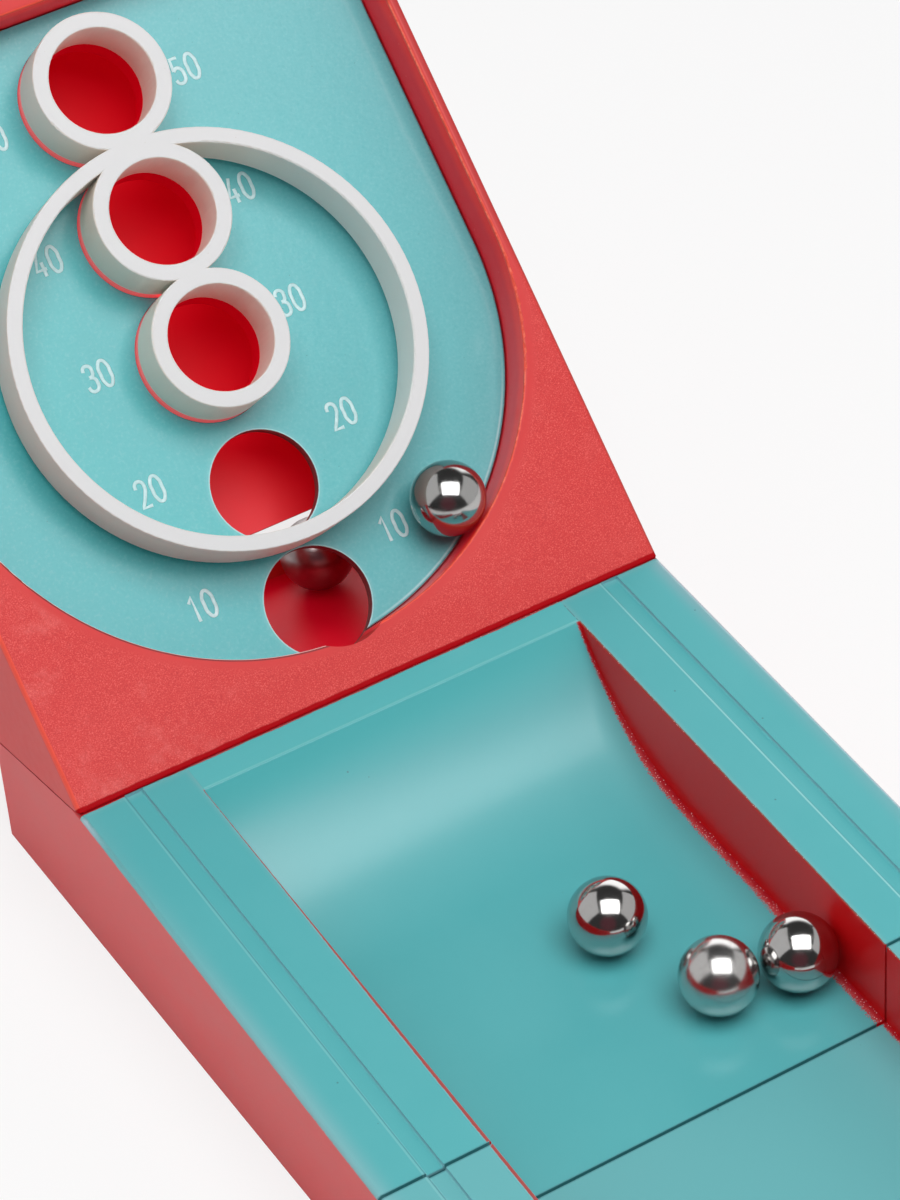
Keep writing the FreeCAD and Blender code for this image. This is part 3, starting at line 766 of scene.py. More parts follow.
    def _skin(self, sheet: Sheet, grainy: Socket, cells: Socket, coarse: Socket) -> Socket:
        """Return the colour of the outer faces, with grain, flow marks, scuffs with painted sheen,
        painted edge highlights and painted lines round the recess.

        Args:
            sheet: the material.
            grainy: where the grain lies.
            cells: the grain's pattern.
            coarse: a slower pattern under it.

        Returns:
            The colour.
        """
        flow = sheet.ramp(sheet.noise(38.0, 3.0, 0.6), 0.35, 0.75)
        colour = sheet.layer(flow, 0.5, self.red, self.pale)
        mixed = sheet.shifted(sheet.math("MULTIPLY", cells, 0.88), coarse, 0.12)
        high = sheet.math("MULTIPLY", sheet.ramp(mixed, 0.50, 0.72), 0.52)
        low = sheet.math("MULTIPLY", sheet.fall(mixed, 0.30, 0.50), 0.50)
        colour = sheet.colour(sheet.both(high, grainy), colour, self.raised)
        colour = sheet.colour(sheet.both(low, grainy), colour, self.sunk)
        # Scuffs with painted sheen, stronger towards the face's left.
        scuff_and_sheen = sheet.ramp(sheet.noise(120.0, 5.0, 0.7, offset=0.5), 0.50, 0.72)
        left = sheet.ramp(sheet.across, -44.0 * MM, -8.0 * MM, 0.40, 0.06)
        colour = sheet.colour(sheet.both(scuff_and_sheen, left, grainy), colour, self.scuff_and_sheen)
        # Painted highlight on the rounded edges, darkened to painted shade at the right outer
        # edge.
        tilted = sheet.fall(sheet.facing(LAYOUT.target_normal()), 0.90, 0.985)
        painted_edge_highlight = sheet.both(tilted, sheet.ramp(sheet.out, -0.9 * MM, -0.5 * MM))
        far_right = sheet.ramp(sheet.across, LAYOUT.half_width - 0.9 * MM,
                               LAYOUT.half_width - 0.5 * MM)
        edge = sheet.colour(far_right, self.edge, self.edge_right)
        colour = sheet.layer(painted_edge_highlight, 0.8, colour, edge)
        colour = self._cheeks(sheet, colour)
        return self._recess_lines(sheet, colour)

    def _cheeks(self, sheet: Sheet, colour: Socket) -> Socket:
        """Return the colour with the smooth darker strips beside the recess's straight sides and a
        painted highlight along their middle.

        Args:
            sheet: the material.
            colour: the outer faces' colour so far.

        Returns:
            The colour.
        """
        strip = sheet.both(sheet.ramp(sheet.side, LAYOUT.recess_radius + 0.3 * MM,
                                      LAYOUT.recess_radius + 0.6 * MM),
                           sheet.ramp(sheet.out, -0.6 * MM, -0.4 * MM),
                           sheet.ramp(sheet.up_face, 46.0 * MM, 62.0 * MM))
        colour = sheet.layer(strip, 0.85, colour, self.cheek)
        # Painted highlight along the middle of the strips.
        highlight_stripe = sheet.band(sheet.side, LAYOUT.recess_radius + 0.55 * MM, 0.14 * MM, 0.20 * MM)
        return sheet.layer(sheet.both(highlight_stripe, strip), 0.6, colour, self.cheek_highlight)

    def _recess_lines(self, sheet: Sheet, colour: Socket) -> Socket:
        """Return the colour with the thin lines that the light draws round the recess.

        Args:
            sheet: the material.
            colour: the outer faces' colour so far.

        Returns:
            The colour.
        """
        outline = sheet.from_recess()
        # Painted highlight along the recess's right edge.
        lit = sheet.both(sheet.band(sheet.out, -0.20 * MM, 0.10 * MM, 0.06 * MM),
                         sheet.band(outline, 0.15 * MM, 0.35 * MM),
                         sheet.ramp(sheet.across, 2.0 * MM, 40.0 * MM),
                         sheet.ramp(sheet.noise(800.0, 3.0, 0.7, offset=0.7), 0.44, 0.60))
        colour = sheet.layer(lit, 0.65, colour, self.lit_line)
        # Painted shadow line round the recess's left edge, with a painted highlight line inside
        # it.
        left = sheet.both(sheet.ramp(sheet.out, -0.7 * MM, -0.5 * MM),
                          sheet.fall(sheet.across, -6.0 * MM, 2.0 * MM),
                          sheet.fall(sheet.up_face, 110.0 * MM, 115.0 * MM))
        dark = sheet.both(sheet.band(outline, 0.26 * MM, 0.12 * MM), left)
        colour = sheet.layer(dark, 0.85, colour, self.edge_shadow_line)
        pale = sheet.both(sheet.fall(outline, 0.06 * MM, 0.14 * MM), left)
        return sheet.layer(pale, 0.85, colour, self.edge_highlight_line)

    def _wall_colour(self, sheet: Sheet) -> Socket:
        """Return the recess wall's colour, painted lighter towards its upper edge and darker
        towards the board, as painted light and shade.

        Args:
            sheet: the material.

        Returns:
            The colour.
        """
        level = sheet.shifted(sheet.out, sheet.drift(90.0, 3.0, 0.6, 0.15), 3.0 * MM)
        # Painted shade at the board, painted light towards the upper edge.
        wall = sheet.colour(sheet.ramp(level, -4.2 * MM, -1.2 * MM), self.wall_shaded_low, self.wall_lit_high)
        return sheet.layer(sheet.specks(420.0, 0.07), 0.15, wall, self.wall_dot)

    def _walls(self, sheet: Sheet) -> tuple[Socket, Socket]:
        """Return where the recess's wall is, and where the collars' outer sides are.

        Args:
            sheet: the material.

        Returns:
            Two masks.
        """
        upright = sheet.both(sheet.ramp(sheet.out, LAYOUT.board_out - 0.9 * MM,
                                        LAYOUT.board_out - 0.7 * MM),
                             sheet.fall(sheet.out, -0.75 * MM, -0.45 * MM))
        away = sheet.beyond(sheet.from_rings, LAYOUT.collar_radius, 0.1 * MM)
        within = sheet.both(sheet.fall(sheet.from_recess(), 0.4 * MM, 0.6 * MM),
                            sheet.fall(sheet.up_face, LAYOUT.face_length - 3.0 * MM,
                                       LAYOUT.face_length - 2.4 * MM))
        outside = sheet.ramp(sheet.from_rings, LAYOUT.hole_radius, LAYOUT.hole_radius + 0.06 * MM)
        collar = sheet.both(upright, sheet.inverse(away), outside)
        return sheet.both(upright, away, within), collar

    def _foot_shade(self, sheet: Sheet) -> Socket:
        """Return where the painted shade band along the face's lower edge lies."""
        level = sheet.shifted(sheet.up_face, sheet.drift(260.0, 3.0, 0.6, 0.35), 0.5 * MM)
        return sheet.both(sheet.ramp(sheet.out, -3.0 * MM, -2.6 * MM),
                          sheet.fall(level, 0.62 * MM, 0.92 * MM))

    def _hole_edge(self, sheet: Sheet) -> Socket:
        """Return where the recess floor's edge shows under the board's open holes."""
        return sheet.both(sheet.short_of(sheet.from_holes, LAYOUT.floor_hole_radius, 0.1 * MM),
                          sheet.beyond(sheet.out, LAYOUT.floor_back, 0.05 * MM),
                          sheet.short_of(sheet.out, LAYOUT.floor_front, 0.05 * MM))

    def _bore(self, sheet: Sheet) -> Socket:
        """Return where the collars' bores are: nowhere on a piece that lies all inside.

        Args:
            sheet: the material.

        Returns:
            A mask.
        """
        if self.all_inside:
            return sheet.ramp(sheet.out, FAR, 2.0 * FAR)
        near_axis = sheet.fall(sheet.from_rings, LAYOUT.hole_radius,
                               LAYOUT.hole_radius + 0.04 * MM)
        return sheet.both(near_axis, sheet.short_of(sheet.out, LAYOUT.collar_rim, 0.02 * MM),
                          sheet.ramp(sheet.out, -12.6 * MM, -12.4 * MM))

    def _inside(self, sheet: Sheet) -> Socket:
        """Return where the surface lies inside the box.

        Args:
            sheet: the material.

        Returns:
            A mask.
        """
        if self.all_inside:
            return sheet.ramp(sheet.facing(UP), 0.3, 0.6)
        below = sheet.fall(sheet.out, LAYOUT.board_out - 1.4 * MM, LAYOUT.board_out - 0.9 * MM)
        bore = sheet.both(sheet.fall(sheet.out, LAYOUT.collar_rim - 0.01 * MM,
                                     LAYOUT.collar_rim + 0.04 * MM),
                          sheet.fall(sheet.from_rings, LAYOUT.hole_radius - 0.06 * MM,
                                     LAYOUT.hole_radius - 0.01 * MM))
        within = sheet.fall(sheet.side, LAYOUT.half_width - 1.85 * MM,
                            LAYOUT.half_width - 1.8 * MM)
        before_back = sheet.ramp(sheet.out, 0.05 * MM - LAYOUT.box_depth,
                                 0.2 * MM - LAYOUT.box_depth)
        cover = sheet.both(sheet.fall(sheet.up_face, LAYOUT.face_length - 1.4 * MM,
                                      LAYOUT.face_length - 1.0 * MM),
                           sheet.fall(sheet.facing(DOWN), 0.85, 0.95))
        return sheet.both(sheet.math("MAXIMUM", below, bore), within, before_back, cover)


@dataclass(frozen=True)
class SprayedLane:
    """Red moulded plastic with turquoise sprayed over the rails and the lane, with painted
    highlights, sheen and shade.

    Attributes:
        name: the material's name.
        red: the bare plastic's colour.
        flow: the colour of its flow marks.
        streak: the colour of its long streaks.
        paint: the sprayed colour.
        paint_pale: the paint's thinner patches.
        thin: the paint's colour where it thins out towards the edges.
        lilac_sheen: the paint's colour at the game's right outer edge, thinner paint with painted
            sheen.
        pale_left_sheen: the paint's colour at its left outer edge, thinner paint with painted
            sheen.
        pink_right: the fringe where the plastic shows through at the right outer edge.
        corner: the paint's colour at its left corner by the target.
        front_paint: the front section's slightly hazier paint.
        lit_top_flat: the paint on the flat above the ramp, painted lighter as painted light.
        crest: the painted highlight on the ramp's crest.
        crest_shade: the painted shade just below it.
        joint: the painted shade line in the corner between that flat and the right rail.
        seam_shade: the painted shade along the seam.
        lit_groove_wall: the grooves' steep walls, painted greyer and lighter as painted light.
        groove_rim_highlight: the painted highlight on the grooves' rims.
        groove_shade: the thin dark line beside those rims.
        dot: the paint's dark dots.
        lane_wall: the bare colour of the lane's walls.
        strip: the bare colour of the strip at their foot.
        strip_pale: the same where the spray has dusted it.
        wall_dot: the pale dots on the right wall's upper edge.
        spray_dot: the fine dots that the spray leaves on the strip.
        edge_left: the bare colour of the left rail's inner edge.
        edge_right: the bare colour of the right rail's inner edge.
        edge_outer: the bare colour of the game's outer edges.
        foot: the bare colour at the target's foot, darkened as painted shade.
        strip_far: width of the bare strip at the wall's foot, at the top of the ramp.
        strip_near: the same on the flat lane.
        rail_inner: where the paint ends on the rails' inner edges.
        rail_outer: where it ends on the outer edges.
        rims: where the grooves' painted rim highlights lie, on the right and on the left.
        shades: where the dark lines beside them lie.
        peel: depth of the paint's ripple.
        coat_step: height of the paint over the bare plastic.
    """

    name: str = "sprayed_lane"
    red: Colour = (0.66, 0.008, 0.011)
    flow: Colour = (0.60, 0.03, 0.03)
    streak: Colour = (0.58, 0.060, 0.055)
    paint: Colour = (0.052, 0.388, 0.413)
    paint_pale: Colour = (0.062, 0.402, 0.427)
    thin: Colour = (0.115, 0.405, 0.425)
    lilac_sheen: Colour = (0.20, 0.37, 0.42)
    pale_left_sheen: Colour = (0.16, 0.425, 0.455)
    pink_right: Colour = (0.33, 0.30, 0.37)
    corner: Colour = (0.42, 0.52, 0.60)
    front_paint: Colour = (0.092, 0.402, 0.425)
    lit_top_flat: Colour = (0.066, 0.440, 0.460)
    crest: Colour = (0.16, 0.53, 0.53)
    crest_shade: Colour = (0.026, 0.418, 0.438)
    joint: Colour = (0.06, 0.10, 0.12)
    seam_shade: Colour = (0.025, 0.20, 0.23)
    lit_groove_wall: Colour = (0.19, 0.47, 0.54)
    groove_rim_highlight: Colour = (0.36, 0.68, 0.68)
    groove_shade: Colour = (0.03, 0.19, 0.23)
    dot: Colour = (0.02, 0.10, 0.11)
    lane_wall: Colour = (0.75, 0.005, 0.008)
    strip: Colour = (0.38, 0.006, 0.014)
    strip_pale: Colour = (0.50, 0.055, 0.060)
    wall_dot: Colour = (0.82, 0.64, 0.64)
    spray_dot: Colour = (0.30, 0.26, 0.28)
    edge_left: Colour = (0.37, 0.065, 0.062)
    edge_right: Colour = (0.26, 0.090, 0.060)
    edge_outer: Colour = (0.42, 0.010, 0.012)
    foot: Colour = (0.40, 0.003, 0.008)
    strip_far: float = 0.45 * MM
    strip_near: float = 1.4 * MM
    rail_inner: float = 33.40 * MM
    rail_outer: float = 51.50 * MM
    rims: tuple[float, float] = (40.52 * MM, -44.12 * MM)
    shades: tuple[float, float] = (40.78 * MM, -43.82 * MM)
    peel: float = 0.010 * MM
    coat_step: float = 0.03 * MM

    def build(self) -> Material:
        """Make the material.

        Returns:
            The material.
        """
        sheet = Sheet(self.name)
        ragged = sheet.drift(1700.0, 4.0, 0.7)
        wander = sheet.drift(150.0, 2.0, 0.5, 0.4)
        groove, seam = self._gaps(sheet)
        painted = self._painted(sheet, ragged, wander)
        painted = sheet.math("MAXIMUM", painted, sheet.math("MAXIMUM", groove, seam))
        colour = sheet.colour(painted, self._bare(sheet), self._paint(sheet, groove, ragged))
        rough = sheet.ramp(painted, 0.0, 1.0, 0.34, 0.60)
        slow = sheet.noise(420.0, 2.0, 0.5, offset=0.6)
        fine = sheet.noise(1900.0, 2.0, 0.5)
        relief = sheet.shifted(sheet.math("MULTIPLY", fine, 0.3), slow, 0.7)
        normal = sheet.bump(relief, self.peel)
        normal = sheet.bump(painted, self.coat_step, normal)
        in_lane = sheet.ramp(sheet.side, LAYOUT.lane_half + 0.2 * MM, LAYOUT.lane_half + 0.4 * MM,
                             0.30, 0.5)
        haze = sheet.ramp(painted, 0.0, 1.0, in_lane, 0.9)
        return sheet.finish(colour, rough, normal, coat=sheet.math("MULTIPLY", painted, 0.75),
                            coat_roughness=0.24, haze=haze)

    def _gaps(self, sheet: Sheet) -> tuple[Socket, Socket]:
        """Return where the rails' grooves are, and the painted upper part of the seam.

        Args:
            sheet: the material.

        Returns:
            Two masks.
        """
        groove = sheet.both(sheet.band(sheet.side, LAYOUT.groove_x, LAYOUT.groove_half, 0.02 * MM),
                            sheet.ramp(sheet.above_rails, -1.0 * MM, -0.9 * MM),
                            sheet.fall(sheet.along, -0.02 * MM, 0.12 * MM))
        at_seam = sheet.band(sheet.away, LAYOUT.seam_y, 0.40 * MM)
        floor = sheet.ramp(sheet.side, 32.0 * MM, 33.6 * MM, 16.7 * MM, 1.4 * MM)
        depth = sheet.ramp(sheet.math("ADD", sheet.above_rails, floor), -0.3 * MM, 0.1 * MM)
        lane = sheet.both(sheet.fall(sheet.across, LAYOUT.lane_half - 1.6 * MM,
                                     LAYOUT.lane_half - 1.2 * MM),
                          sheet.fall(sheet.side, LAYOUT.lane_half - 0.1 * MM, LAYOUT.lane_half))
        rail = sheet.band(sheet.side, LAYOUT.rail_x, LAYOUT.rail_half)
        return groove, sheet.both(at_seam, depth, sheet.math("MAXIMUM", lane, rail))

    def _painted(self, sheet: Sheet, ragged: Socket, wander: Socket) -> Socket:
        """Return where the moulding is painted.

        Args:
            sheet: the material.
            ragged: fine edge noise.
            wander: slow edge noise.

        Returns:
            A mask.
        """
        edge = sheet.shifted(sheet.shifted(sheet.side, ragged, 0.25 * MM), wander, 0.12 * MM)
        outer = sheet.short_of(edge, self.rail_outer, 0.12 * MM)
        wider = sheet.both(sheet.ramp(sheet.along, -80.0 * MM, -12.0 * MM, 0.42 * MM, 0.0),
                           sheet.left_half())
        inner = sheet.beyond(sheet.math("SUBTRACT", edge, wider), self.rail_inner, 0.07 * MM)
        end = sheet.shifted(sheet.shifted(sheet.along, ragged, 0.2 * MM), wander, 0.4 * MM)
        outer_half = sheet.both(sheet.ramp(sheet.side, 41.4 * MM, 43.0 * MM), sheet.left_half())
        end = sheet.shifted(end, outer_half, 0.30 * MM)
        end = sheet.shifted(end, sheet.fall(sheet.side, 36.0 * MM, 37.5 * MM), 0.16 * MM)
        before_target = sheet.fall(end, -0.02 * MM, 0.12 * MM)
        above_ramp = sheet.ramp(sheet.along, LAYOUT.ramp_end - 0.2 * MM,
                                LAYOUT.ramp_end + 0.1 * MM)
        lane = sheet.math("MAXIMUM", self._beside_strip(sheet, ragged, wander), above_ramp)
        on_rail = sheet.beyond(sheet.side, LAYOUT.lane_half, 0.02 * MM)
        rail = sheet.math("MAXIMUM", inner, above_ramp)
        lower = sheet.both(lane, sheet.inverse(on_rail))
        upper = sheet.both(rail, on_rail, sheet.ramp(sheet.above_rails, -2.4 * MM, -2.0 * MM))
        upward = sheet.ramp(sheet.facing(UP), 0.12, 0.3)
        return sheet.both(sheet.math("ADD", lower, upper, clamp=True), outer, before_target,
                          upward)

    def _beside_strip(self, sheet: Sheet, ragged: Socket, wander: Socket) -> Socket:
        """Return where the lane lies to the left of its bare strip, whose edge is sprayed.

        Args:
            sheet: the material.
            ragged: fine edge noise.
            wander: slow edge noise.

        Returns:
            A mask.
        """
        strip = sheet.ramp(sheet.along, -32.0 * MM, -6.5 * MM, self.strip_near, self.strip_far)
        before_seam = sheet.ramp(sheet.away, LAYOUT.seam_y - 0.1 * MM, LAYOUT.seam_y, 0.55, 1.0)
        strip = sheet.both(strip, before_seam)
        uneven = sheet.shifted(sheet.math("MULTIPLY", wander, 0.35), ragged, 0.35)
        uneven = sheet.shifted(uneven, sheet.drift(5200.0, 1.0, 0.5, 0.55), 1.5)
        strip = sheet.shifted(strip, uneven, strip)
        limit = sheet.math("SUBTRACT", LAYOUT.lane_half, strip)
        return sheet.beyond(sheet.math("SUBTRACT", limit, sheet.across), 0.0, 0.20 * MM)

    def _paint(self, sheet: Sheet, groove: Socket, ragged: Socket) -> Socket:
        """Return the paint's colour with its patches, thin edges, paler outer bands with painted
        sheen, painted light and shade at the crest, the seam and the grooves, and dots.

        Args:
            sheet: the material.
            groove: where the rails' grooves are.
            ragged: fine edge noise.

        Returns:
            The colour.
        """
        patches = sheet.ramp(sheet.noise(45.0, 4.0, 0.6, offset=0.2), 0.3, 0.8)
        paint = sheet.colour(patches, self.paint, self.paint_pale)
        front = sheet.short_of(sheet.away, LAYOUT.seam_y, 0.1 * MM)
        paint = sheet.colour(front, paint, self.front_paint)
        paint = self._outer_fade(sheet, paint, ragged)
        from_inner = sheet.math("SUBTRACT", sheet.side, LAYOUT.lane_half)
        near_inner = sheet.fall(from_inner, 0.1 * MM, 1.3 * MM)
        on_rail = sheet.beyond(from_inner, 0.0, 0.05 * MM)
        near_target = sheet.ramp(sheet.along, -1.7 * MM, -0.1 * MM)
        halo = sheet.math("MAXIMUM", sheet.both(near_inner, on_rail), near_target)
        paint = sheet.layer(sheet.math("POWER", halo, 1.6), 0.85, paint, self.thin)
        paint = self._ramp_top(sheet, paint)
        paint = self._groove_lines(sheet, paint, groove)
        return sheet.layer(sheet.specks(150.0, 0.03), 0.6, paint, self.dot)

    def _ramp_top(self, sheet: Sheet, paint: Socket) -> Socket:
        """Return the paint with the ramp's painted crest highlight and painted shade below it, the
        flat above it painted lighter, the painted shade line at the right rail's corner and the
        seam's painted shade line.

        Args:
            sheet: the material.
            paint: the paint's colour so far.

        Returns:
            The colour.
        """
        end = LAYOUT.ramp_end
        in_lane = sheet.fall(sheet.side, LAYOUT.lane_half - 0.1 * MM, LAYOUT.lane_half)
        # The flat above the ramp, painted lighter as painted light.
        flat = sheet.both(sheet.ramp(sheet.along, end - 0.05 * MM, end + 0.15 * MM), in_lane)
        paint = sheet.colour(flat, paint, self.lit_top_flat)
        # Painted highlight on the crest.
        crest = sheet.both(sheet.band(sheet.along, end + 0.18 * MM, 0.16 * MM, 0.14 * MM), in_lane)
        paint = sheet.layer(crest, 0.7, paint, self.crest)
        # Painted shade line in the corner between the flat and the right rail.
        joint = sheet.both(sheet.band(sheet.across, LAYOUT.lane_half + 0.02 * MM, 0.07 * MM,
                                      0.03 * MM),
                           sheet.band(sheet.along, -2.9 * MM, 2.2 * MM, 0.2 * MM),
                           sheet.ramp(sheet.noise(1300.0, 2.0, 0.5, offset=0.45), 0.42, 0.52))
        paint = sheet.layer(joint, 0.7, paint, self.joint)
        # Painted shade just below the crest.
        under = sheet.both(sheet.ramp(sheet.along, -13.5 * MM, -6.5 * MM), in_lane,
                           sheet.fall(sheet.along, end - 0.3 * MM, end - 0.1 * MM))
        paint = sheet.layer(under, 0.85, paint, self.crest_shade)
        # Painted shade along the seam.
        seam_shade = sheet.band(sheet.away, LAYOUT.seam_y, 0.42 * MM, 0.10 * MM)
        return sheet.layer(seam_shade, 0.7, paint, self.seam_shade)

    def _groove_lines(self, sheet: Sheet, paint: Socket, groove: Socket) -> Socket:
        """Return the paint with the grooves' walls in painted light, painted highlights on their
        rims and painted shade lines beside them.

        Args:
            sheet: the material.
            paint: the paint's colour so far.
            groove: where the rails' grooves are.

        Returns:
            The colour.
        """
        # The grooves' steep walls in painted light.
        steep = sheet.both(groove, sheet.fall(sheet.facing(UP), 0.25, 0.85))
        paint = sheet.colour(steep, paint, self.lit_groove_wall)
        # Painted highlights on the grooves' rims, weaker on the left and towards the target.
        left_rim_highlight = sheet.math("MULTIPLY", sheet.band(sheet.across, self.rims[1], 0.15 * MM), 0.35)
        rim = sheet.math("MAXIMUM", sheet.band(sheet.across, self.rims[0], 0.13 * MM), left_rim_highlight)
        from_target = sheet.ramp(sheet.along, -14.0 * MM, -1.0 * MM, 0.60, 0.30)
        paint = sheet.colour(sheet.both(rim, from_target), paint, self.groove_rim_highlight)
        right_shade = sheet.band(sheet.across, self.shades[0], 0.07 * MM, 0.04 * MM)
        left_shade = sheet.band(sheet.across, self.shades[1], 0.10 * MM, 0.06 * MM)
        shade = sheet.math("MAXIMUM", right_shade, left_shade)
        return sheet.layer(shade, 0.6, paint, self.groove_shade)

    def _outer_fade(self, sheet: Sheet, paint: Socket, ragged: Socket) -> Socket:
        """Return the paint with its paler bands along the game's outer edges: thinner paint with
        painted sheen.

        Args:
            sheet: the material.
            paint: the paint's colour so far.
            ragged: fine edge noise.

        Returns:
            The colour.
        """
        from_outer = sheet.math("SUBTRACT", LAYOUT.half_width, sheet.side)
        fade = sheet.math("POWER", sheet.fall(from_outer, 0.1 * MM, 4.2 * MM), 1.6)
        right = sheet.right_half()
        left = sheet.inverse(right)
        left_share = sheet.ramp(sheet.along, -62.0 * MM, -4.0 * MM, 0.95, 0.25)
        right_share = sheet.ramp(sheet.along, -40.0 * MM, -5.0 * MM, 0.45, 0.85)
        # Thinner paint with painted sheen along the outer edges, its strength changing along the
        # lane.
        paint = sheet.colour(sheet.both(fade, left, left_share), paint, self.pale_left_sheen)
        paint = sheet.colour(sheet.both(fade, right, right_share), paint, self.lilac_sheen)
        corner = sheet.both(sheet.fall(sheet.shifted(from_outer, ragged, 0.6 * MM), 0.25 * MM,
                                       0.85 * MM), left,
                            sheet.ramp(sheet.along, -9.0 * MM, -1.0 * MM))
        paint = sheet.layer(corner, 0.7, paint, self.corner)
        fringe = sheet.fall(sheet.shifted(from_outer, ragged, 0.5 * MM), 0.30 * MM, 0.75 * MM)
        return sheet.layer(sheet.both(fringe, right), 0.6, paint, self.pink_right)

    def _bare(self, sheet: Sheet) -> Socket:
        """Return the bare plastic's colour: the walls, the strip at their foot, the edges and the
        painted shade at the target's foot.

        Args:
            sheet: the material.

        Returns:
            The colour.
        """
        flow = sheet.ramp(sheet.noise(30.0, 3.0, 0.6, offset=0.8), 0.35, 0.75)
        red = sheet.layer(flow, 0.4, self.red, self.flow)
        streak = sheet.ramp(sheet.noise(75.0, 4.0, 0.65, (1.0, 0.35, 1.0), 0.95), 0.45, 0.75)
        red = sheet.layer(streak, 0.35, red, self.streak)
        in_lane = sheet.fall(sheet.side, LAYOUT.lane_half + 0.02 * MM,
                             LAYOUT.lane_half + 0.06 * MM)
        red = sheet.colour(in_lane, red, self.lane_wall)
        upward = sheet.ramp(sheet.facing(UP), 0.35, 0.65)
        dusted = sheet.shifted(sheet.side, sheet.drift(900.0), 0.8 * MM)
        dusted = sheet.fall(dusted, LAYOUT.lane_half - 1.2 * MM, LAYOUT.lane_half - 0.2 * MM)
        strip = sheet.colour(dusted, self.strip, self.strip_pale)
        red = sheet.colour(sheet.both(upward, in_lane), red, strip)
        edge = sheet.colour(sheet.right_half(), self.edge_left, self.edge_right)
        edge = sheet.colour(sheet.ramp(sheet.side, 49.0 * MM, 50.0 * MM), edge, self.edge_outer)
        # Painted shade on the bare plastic by the target's foot.
        edge = sheet.colour(sheet.ramp(sheet.along, -1.9 * MM, -1.6 * MM), edge, self.foot)
        red = sheet.colour(sheet.both(upward, sheet.inverse(in_lane)), red, edge)
        near_wall = sheet.both(upward, sheet.fall(sheet.side, LAYOUT.lane_half + 0.5 * MM,
                                                  LAYOUT.lane_half + 0.7 * MM),
                               sheet.ramp(sheet.across, 0.0, 1.0 * MM))
        dots = sheet.math("MULTIPLY", sheet.specks(2300.0, 0.24), 0.8)
        red = sheet.colour(sheet.both(dots, near_wall), red, self.wall_dot)
        spray = sheet.ramp(sheet.noise(3400.0, 1.0, 0.5, offset=0.25), 0.60, 0.70)
        near_paint = sheet.ramp(sheet.side, LAYOUT.lane_half - 1.8 * MM,
                                LAYOUT.lane_half - 0.2 * MM, 0.7, 0.0)
        return sheet.colour(sheet.both(spray, near_paint, upward), red, self.spray_dot)


